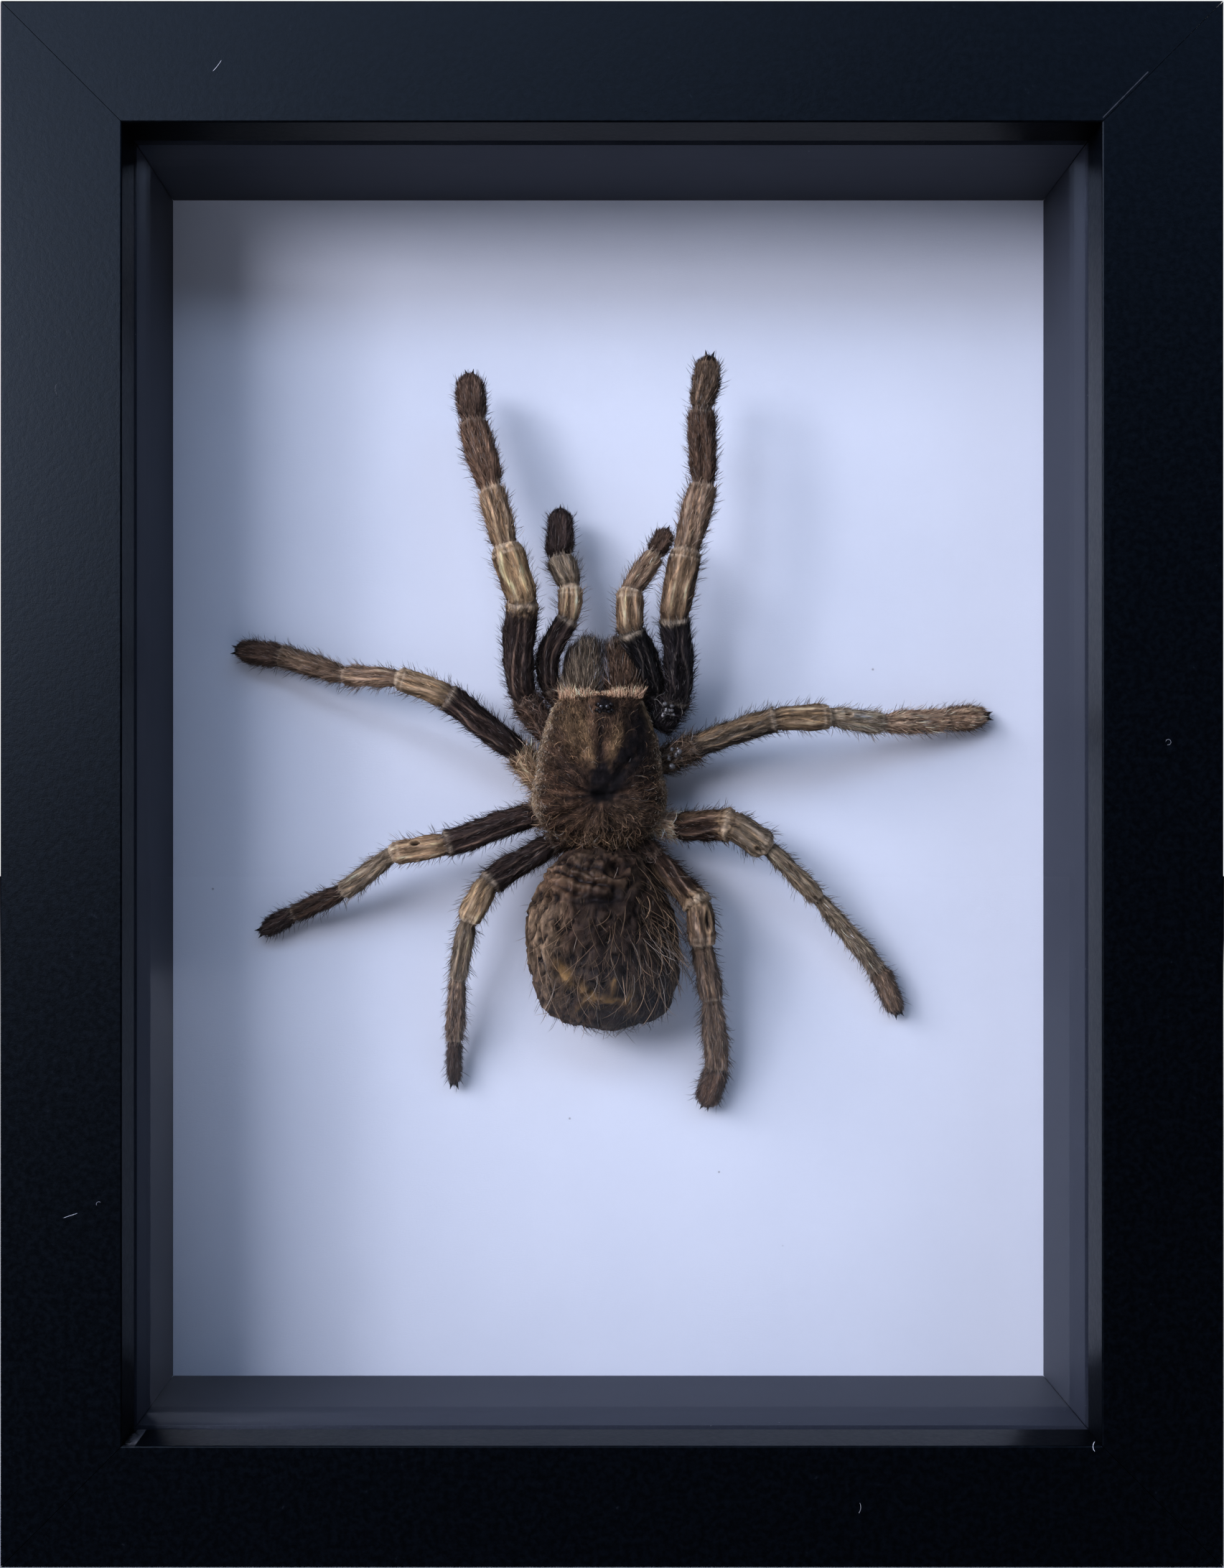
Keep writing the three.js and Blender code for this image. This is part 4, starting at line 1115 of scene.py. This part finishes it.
def abdomen(seed):
    """The shrunken, wrinkled rear of the body, and its hair."""
    hide, x, z, top = trunk(ABDOMEN, 190, 190, ease=(0.09, 0.1))
    case = hide.points
    dorsal = clamp(top * 3 + 0.4)
    facets = 1 - np.abs(ruffle(case * np.array([1, 1, 0.55]), 2.4, seed + 2, 2)) * 2.4
    bowed = case + 0.9 * ruffle(case, 2.5, seed + 4)[..., None]
    folds = 1 - np.abs(ruffle(bowed * np.array([1, 1, 0.36]), 1.9, seed + 5, 1)) * 4.5
    crevice = clamp(folds) * clamp(0.6 + ruffle(case, 2.0, seed + 7))
    wave = np.sin((z + 0.2 * x) * TURN / 1.9 + 2.6 * ruffle(case, 3, seed + 6))
    ragged = 1 + 0.6 * ruffle(case, 1.2, seed + 30, 2)
    arch = hump(off_line(x, z, FOLD), 0.9 * ragged) * clamp(0.75 + 0.8 * ruffle(case, 1.6, seed + 31))
    for spur in SPURS:
        arch = np.maximum(arch, 0.7 * hump(off_line(x, z, spur), 0.35 * ragged))
    lift = 0.6 * ruffle(case, 4.2, seed, 2) + 0.14 * ruffle(case, 1.0, seed + 8, 3)
    lift += facets * 0.6 * np.clip((-x + 3) / 9, 0.45, 1) - crevice**1.5 * 0.95 + 0.55 * arch
    lift += swellings(x, z, ABDOMEN_BUMPS) + 0.34 * wave * patch(x, z, (-2.5, -9.4), (6.5, 2.8))
    lift += 0.45 * hump(np.hypot(x - DENT[0], z - DENT[1]) - 2.0, 0.6)
    lift -= 0.5 * hump(x - 0.5 - 0.1 * (z + 20), 0.5) * patch(x, z, (0.5, -19), (3, 7))
    hide.push(lift * (0.35 + 0.65 * dorsal))

    cloud = clouds(case, 2.4, seed + 11, 3)
    lanes = clamp(0.5 + 1.1 * ruffle(case * np.array([1, 1, 0.25]), 1.3, seed + 12, 2))
    hide.tone[:] = hue("umber")
    hide.paint(cloud * 0.7, hue("drab") * 0.5)
    paint_spots(hide, x, z, cloud, ABDOMEN_GROUND)
    hide.paint(lanes * 0.5 * (0.4 + 0.6 * patch(x, z, (1, -20), (12, 12))), hue("coal") * 0.7)
    hide.mottle(0.55 * ruffle(case * np.array([1, 1, 0.3]), 0.6, seed + 14, 2))
    # Painted highlight on the raised facets.
    hide.paint(clamp(facets - 0.4) * 1.4, hide.tone * 2.2)
    ribs = patch(x, z, (-1.5, -8.6), (7.5, 3.6))
    # Painted highlight on the crests of the waves and painted shade in their troughs.
    hide.paint(clamp(wave - 0.3) * ribs * 0.7, hue("drab") * 0.8)
    hide.paint(clamp(-wave - 0.3) * ribs * 1.7, hue("black"))
    # Painted shade in the crevices.
    hide.paint(clamp(crevice - 0.15) * 2.4 * (1 - 0.6 * ribs), hue("black"))
    # Painted shade over the right side and painted light on the left flank, as light falls from the left.
    shade = 0.78 - 0.42 * patch(x, z, (5.5, -18), (7.0, 10)) + 0.28 * patch(x, z, (-8.5, -14), (3.5, 10))
    hide.tone = hide.tone * shade[..., None] * np.array([1.06, 0.97, 0.90])
    hide.under = ABDOMEN_SKIN_SHADE_UNDER_HAIR
    paint_spots(hide, x, z, cloud, ABDOMEN_SPOTS)
    hide.paint(hump(off_line(x, z - 1.6, FOLD), 0.8) * 0.6, hue("black"))
    hide.paint(arch * (0.6 + 0.4 * cloud), hue("ochre"))
    # Painted shade in the hole.
    hide.paint(patch(x, z, HOLE, (0.8, 0.7)), hue("black") * 0.5)
    hide.gloss = clamp(patch(x, z, (-3, -9.6), (5.5, 3.0)) * 0.8 + (facets > 0.6) * 0.3)
    hide.bare = np.clip(patch(x, z, (-1.5, -9.2), (6.5, 3.4)) * 0.85 + 0.5 * lanes + 0.8 * arch, 0, 0.95)

    spin = 0.6 * ruffle(case, 5.0, seed + 21)
    hide.flow = unit(np.stack([0.035 * (x + 1) + spin, 0 * x, -1 + 0 * x], -1))
    coat = Coat(seed)
    coat.cover(hide, 2.6, 0.05 + 0.95 * clamp(top * 2), (0.8, 1.7), (4, 16), 16, 0.070, 0.8, 2,
               hue("umber"), 0.12, 0.5, 0.01)
    coat.cover(hide, 1.0, clamp(top * 2 - 0.1), (2.0, 3.8), (5, 18), 22, 0.070, 0.9, 3,
               hue("straw"), 0.3, 0.5, 0.02)
    rear = (top > 0.4) * np.clip((-z - 6) / 8, 0.15, 1) * np.where(x > 3, 1.0, 0.6) * (z > -26)
    coat.cover(hide, 0.7, rear, (4.0, 8.5), (4, 14), 13, 0.085, 1.1, 6, hue("tan"), 0.8, 0.35, 0.1, fall=0.02)
    wisps = 1.0 * (x > 5) * (top > 0) * (z > -22) * (z < -6)
    coat.cover(hide, 1.6, wisps, (4.0, 8.0), (12, 34), 10, 0.075, 0.8, 6, hue("tan"), 0.9, 0.35, 0.2,
               way=np.array([0.35, 0.0, -1.0]))
    return hide, coat


def chelicera(sign, seed):
    """A jaw, left for sign -1 and right for sign 1, and its hair."""
    sections = []
    for z, inner, outer, low, high in reversed(CHELICERA):
        pair = sorted([sign * (CHELICERA_INNER + inner), sign * (CHELICERA_INNER + outer)])
        sections.append([z, *pair, low, high])
    hide, x, z, top = trunk(sections, 90, 90, flat_top=0.9, ease=(0.12, 0.16))
    case = hide.points
    hide.push(0.12 * ruffle(case, 2.0, seed, 2))
    cloud = clouds(case, 1.6, seed + 4)
    # The right jaw is a darker brown than the left as painted shade; the left jaw's drab is their own colour.
    hide.tone[:] = hue("drab") * 1.05 if sign < 0 else hue("cocoa") * 1.1
    hide.paint(cloud * 0.5, hide.tone * 1.5)
    streaks = ruffle(np.stack([x / 0.35, z / 5, 0 * x], -1), 1.0, seed + 6, 2)
    hide.mottle(0.8 * streaks - 0.10 * np.clip(z - 23, 0, 6))
    outward = sign * x
    edge = 5.1 - 0.4 * np.clip(z - 23.5, 0, 5)
    outer = clamp((outward - edge) / 0.7) * clamp((z - 21) / 1.5)
    hide.paint(outer * 0.9, hue("black"))
    # Painted shade along the inner edge, where the two jaws meet.
    hide.paint(clamp((0.6 - outward) / 0.4) * 0.8, hue("coal"))
    hide.paint((top < -0.2) * 0.7, hue("umber"))
    hide.gloss = outer * 0.7
    hide.bare = outer * 0.8
    hide.flow = unit(np.stack([0.06 * sign * (outward - 2.5), 0 * x, 1 + 0 * x], -1))
    coat = Coat(seed)
    over = np.clip(top * 3 + 0.5, 0.1, 1)
    parting = hump(outward - 0.5, 0.6) * over
    brush = clamp((z - 25.8) / 1.5) * over
    coat.cover(hide, 18, over, (1.2, 2.2), (5, 18), 7, 0.090, 0.8, 2, hue("fawn"), 0.15, 0.65, 0.03)
    coat.cover(hide, 7, parting, (1.6, 3.2), (14, 40), 10, 0.075, 0.7, 3, hue("silver"), 0.8, 0.3, 0.0)
    coat.cover(hide, 9, brush, (1.2, 2.6), (10, 40), 14, 0.075, 0.9, 3, hue("drab"), 0.4, 0.4, 0.06)
    coat.cover(hide, 2.5, over, (1.8, 3.4), (18, 42), 14, 0.075, 0.9, 3, hue("fawn"), 0.4, 0.4, 0.06)
    return hide, coat


def eyes():
    """Eight small lenses on the tubercle: two round ones in front of three on each side."""
    shape = bmesh.new()
    lenses = [(-0.5, 0.15, 0.46, 1.0), (0.5, 0.15, 0.46, 1.0), (-1.1, 0.55, 0.3, 1.5),
              (1.1, 0.55, 0.3, 1.5), (-1.25, -0.35, 0.3, 1.5), (1.25, -0.35, 0.3, 1.5),
              (-0.75, -0.6, 0.26, 1.3), (0.75, -0.6, 0.26, 1.3)]
    for dx, dz, radius, stretch in lenses:
        place = to_case(EYE_TUBERCLE[0] + dx, EYE_TUBERCLE[1] + dz, 15.3 - 0.35 * dx * dx)
        tilt = Matrix.Rotation(dx * 0.35, 4, "Y") @ Matrix.Rotation(dx * 0.6, 4, "Z")
        matrix = Matrix.Translation(Vector(place)) @ tilt @ Matrix.Diagonal((stretch, 0.75, 1, 1))
        bmesh.ops.create_icosphere(shape, subdivisions=3, radius=radius, matrix=matrix)
    return rounded_mesh(shape, "eyes")


def claws():
    """Two short claws at the end of each leg and one at the end of each palp."""
    shape = bmesh.new()
    for name, (joints, _) in LIMBS.items():
        base, tip = (Vector(to_case(*joint)) for joint in joints[-2:])
        ahead = (tip - base).normalized()
        aside = ahead.cross(Vector((0, -1, 0))).normalized()
        for apart in (-1, 1) if name.startswith("leg") else (0,):
            aim = (ahead + aside * 0.25 * apart + Vector((0, 0.25, 0))).normalized()
            place = tip - ahead * 0.5 + aside * 0.35 * apart + aim * CLAW_LENGTH / 2
            turn = aim.to_track_quat("Z", "Y").to_matrix().to_4x4()
            made = bmesh.ops.create_cone(
                shape, cap_ends=True, segments=12, radius1=0.34, radius2=0.04, depth=CLAW_LENGTH,
                matrix=Matrix.Translation(place) @ turn)
            for vert in made["verts"]:
                vert.co.y += 0.22 * max(0, (vert.co - place).dot(aim)) ** 2
    return rounded_mesh(shape, "claws")


# Drops of dried glue: x, z, h, radius, flatness; and clusters of small ones: x, z, h, reach, number.
GLUE_DROPS = [(-12.0, 12.0, 10.2, 0.2, 0.6), (-8.8, -1.8, 10.6, 0.17, 0.6), (-9.2, -2.8, 10.4, 0.2, 0.6),
              (-7.2, -2.8, 10.6, 0.17, 0.6), (10.9, 8.6, 9.8, 0.5, 0.6)]
GLUE_CLUSTERS = [(10.3, 17.6, 10.6, 1.0, 16), (11.3, 10.6, 9.8, 0.9, 14)]


def glue_drops(seed):
    """Drops of dried glue at the roots of the legs."""
    rng = np.random.default_rng(seed)
    drops = list(GLUE_DROPS)
    for x, z, h, reach, number in GLUE_CLUSTERS:
        drops += [(x + dx * reach, z + dz * reach, h + dh * 0.5, size, 0.8) for dx, dz, dh, size in
                  zip(*rng.uniform(-1, 1, (3, number)), rng.uniform(0.16, 0.42, number))]
    shape = bmesh.new()
    for k, (x, z, h, radius, flat) in enumerate(drops):
        place = Matrix.Translation(Vector(to_case(x, z, h)))
        made = bmesh.ops.create_icosphere(
            shape, subdivisions=3, radius=radius, matrix=place @ Matrix.Diagonal((1, flat, 1, 1)))
        for vert in made["verts"]:
            push = noise.noise(vert.co / (radius * 1.1) + Vector((k, 0, 0)))
            vert.co += (vert.co - place.translation) * 0.28 * push
    return rounded_mesh(shape, "glue_drops")


# Where stray fibres of dust lie on the front of the frame, in case coordinates, mm.
DUST = [(-57.0, -21.05, 219.8), (-78.0, -21.05, 51.7), (-74.6, -21.05, 53.3), (-80.9, -21.05, 171.0),
        (70.4, -21.05, 17.0), (36.0, -21.05, 8.0), (81.0, -21.05, 120.0)]


def dust_fibres(seed):
    """Pale, bent fibres that lie flat on the foil."""
    coat = Coat(seed)
    spots = np.array(DUST)
    coat.grow({"root": spots, "up": np.tile([0.0, -1, 0], (len(spots), 1)),
               "way": unit(coat.rng.normal(0, 1, spots.shape) * np.array([1, 0, 1])),
               "tone": np.full(spots.shape, 0.45)}, (0.8, 2.4), (0, 8), 40, 0.09, 0.5, 6, None, 0, 0.3, 0)
    return coat.mesh("dust_fibres")


# ------------------------------------------------------------------ building
def dress_specimen():
    """Every piece of the specimen, in the place of its node."""
    limb_leather = skin_finish("dried_limb_skin", (2.4, 2.4, 0.22), 0.05)
    trunk_leather = skin_finish("dried_trunk_skin", (1.2, 1.2, 0.5), 0.06)
    bristle, horn, glue = hair_finish(), horn_finish(), glue_finish()
    made = {name: limb(name, seed) for seed, name in enumerate(LIMBS, start=1)}
    made["prosoma"] = carapace(31)
    made["abdomen"] = abdomen(32)
    made["chelicera_left"] = chelicera(-1, 33)
    made["chelicera_right"] = chelicera(1, 34)
    total = 0
    for name, (hide, coat) in made.items():
        leather, slot = (limb_leather, "dried_limb") if name in LIMBS else (trunk_leather, "dried_skin")
        show(hide.mesh("skin_" + name), "skin_" + name, leather, slot, name)
        show(coat.mesh("hair_" + name), "hair_" + name, bristle, slot)
        total += coat.triangles
        print(f"{name}: {coat.triangles} hair triangles")
    show(eyes(), "eyes", horn, "dried_skin")
    show(claws(), "claws", horn, "dried_limb")
    show(glue_drops(77), "glue_drops", glue, "glue")
    show(dust_fibres(78), "dust_fibres", bristle, "rail_black")
    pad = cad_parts["glue_pad"]
    pad.data.materials.clear()
    pad.data.materials.append(glue)
    print(f"hair in all: {total} triangles")


# Points nearer than this are one, m.
WELD = 1e-6
# How far the rails' long edges are rounded, mm.
RAIL_ROUNDING = 0.3


def copy_of(node):
    """A merged copy of a node as a bmesh, its flat faces whole."""
    shape = bmesh.new()
    shape.from_mesh(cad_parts[node].data)
    bmesh.ops.remove_doubles(shape, verts=shape.verts, dist=WELD)
    bmesh.ops.dissolve_limit(shape, angle_limit=math.radians(1), verts=shape.verts, edges=shape.edges)
    return shape


def dress_case():
    """New rails with rounded edges, and finishes for the nodes that stay."""
    foil = foil_finish()
    for side in SIDES:
        node = "frame_rail_" + side
        shape = copy_of(node)
        length = max((e.calc_length() for e in shape.edges), default=1)
        long_edges = [e for e in shape.edges if e.calc_length() > 0.5 * length and e.is_manifold
                      and e.calc_face_angle(0) > 0.5]
        bmesh.ops.bevel(shape, geom=long_edges, offset=RAIL_ROUNDING * MM, offset_type="OFFSET", segments=3,
                        profile=0.5, affect="EDGES", material=-1)
        mesh = as_mesh(shape, "rail_" + side)
        mesh.shade_smooth()
        mesh.set_sharp_from_angle(angle=math.radians(50))
        rail = show(mesh, "rail_" + side, foil, "rail_black", node)
        rail.modifiers.new("even_shading", "WEIGHTED_NORMAL").keep_sharp = True

    def finish(names, material, bevel=0.0):
        for name in names:
            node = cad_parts[name]
            node.data.materials.clear()
            node.data.materials.append(material)
            if bevel:
                node.modifiers.new("weld", "WELD").merge_threshold = WELD
                rounding = node.modifiers.new("rounding", "BEVEL")
                rounding.width, rounding.segments = bevel * MM, 2
                rounding.limit_method, rounding.angle_limit = "ANGLE", math.radians(35)
                rounding.harden_normals = True

    finish(["spacer_" + side for side in SIDES], spacer_finish(), 0.12)
    finish(["glass_pane"], glass_finish())
    finish(["backing_card"], card_finish(), 0.1)
    finish(["back_panel"], hardboard_finish(), 0.15)
    zinc = zinc_finish()
    finish([f"tab_{side}_{k}" for side in SIDES for k in (1, 2)], zinc, 0.1)
    finish(["hanger", "hanger_nail_left", "hanger_nail_right"], zinc, 0.12)


# The camera looks straight along +Y. Its place, lens and sensor are in mm.
CAMERA_PLACE = (-4.87, -267, 109.07)
CAMERA_LENS, CAMERA_SENSOR = 38.73, 36
CAMERA_SHIFT = (0.0213, 0.0229)


def set_camera():
    data = bpy.data.cameras.new("camera")
    data.sensor_width, data.lens = CAMERA_SENSOR, CAMERA_LENS
    data.shift_x, data.shift_y = CAMERA_SHIFT
    data.clip_start, data.clip_end = 0.01, 50
    camera = put("camera", data)
    camera.location = [side * MM for side in CAMERA_PLACE]
    camera.rotation_euler = (math.radians(90), 0, 0)
    bpy.context.scene.camera = camera


# Soft lamps, all aimed at the middle of the case: name, place and size in m, power in W, colour.
LAMP_AIM = (0, 0, 0.11)
LAMPS = [
    ("window", (-0.585, -0.79, 0.375), (0.53, 0.30), 5.8, (0.80, 0.82, 1.0)),
    ("high_window", (-0.85, -0.55, 0.66), (0.5, 0.5), 7.3, (0.80, 0.82, 1.0)),
    ("skylight", (-0.15, -0.70, 0.64), (0.6, 0.2), 2.0, (0.60, 0.72, 1.0)),
    ("fill", (0.5, -0.7, 0.75), (0.5, 0.5), 1.4, (0.42, 0.61, 1.0)),
    ("rear", (0.4, 0.9, 0.7), (0.6, 0.6), 9, (1.0, 0.98, 0.95))]
# The backdrop as it is seen, and the light that it casts.
BACKDROP = (0.80, 0.81, 0.83, 1)
SKY_GLOW, SKY_STRENGTH = (0.80, 0.84, 1.0, 1), 0.02


def set_light():
    for name, place, size, power, colour in LAMPS:
        data = bpy.data.lights.new(name, "AREA")
        data.shape, data.size, data.size_y = "RECTANGLE", *size
        data.energy, data.color = power, colour
        light = put(name, data)
        light.location = place
        light.rotation_euler = (Vector(LAMP_AIM) - Vector(place)).to_track_quat("-Z", "Y").to_euler()
    world = bpy.data.worlds.new("studio")
    bpy.context.scene.world = world
    world.use_nodes = True
    nodes, links = world.node_tree.nodes, world.node_tree.links
    nodes.clear()
    seen, cast = nodes.new("ShaderNodeBackground"), nodes.new("ShaderNodeBackground")
    seen.inputs["Color"].default_value = BACKDROP
    cast.inputs["Color"].default_value = SKY_GLOW
    cast.inputs["Strength"].default_value = SKY_STRENGTH
    path, mix = nodes.new("ShaderNodeLightPath"), nodes.new("ShaderNodeMixShader")
    output = nodes.new("ShaderNodeOutputWorld")
    links.new(path.outputs["Is Camera Ray"], mix.inputs[0])
    links.new(cast.outputs[0], mix.inputs[1])
    links.new(seen.outputs[0], mix.inputs[2])
    links.new(mix.outputs[0], output.inputs[0])
    bpy.context.scene.view_settings.view_transform = "Standard"
    bpy.context.scene.view_settings.look = "Medium High Contrast"


def set_floor():
    shape = bmesh.new()
    bmesh.ops.create_grid(shape, x_segments=1, y_segments=1, size=3)
    mesh = as_mesh(shape, "floor")
    f = Finish("pale_floor")
    cloud = f.noise(f.place(), 0.004, 2)
    mesh.materials.append(f.done(
        base_color=f.mix(cloud, (0.46, 0.46, 0.46), (0.52, 0.52, 0.52)), roughness=0.9))
    floor = put("floor", mesh)
    floor.visible_glossy = False  # so that it doesn't veil the glass


set_camera()
set_light()
set_floor()
dress_case()
dress_specimen()
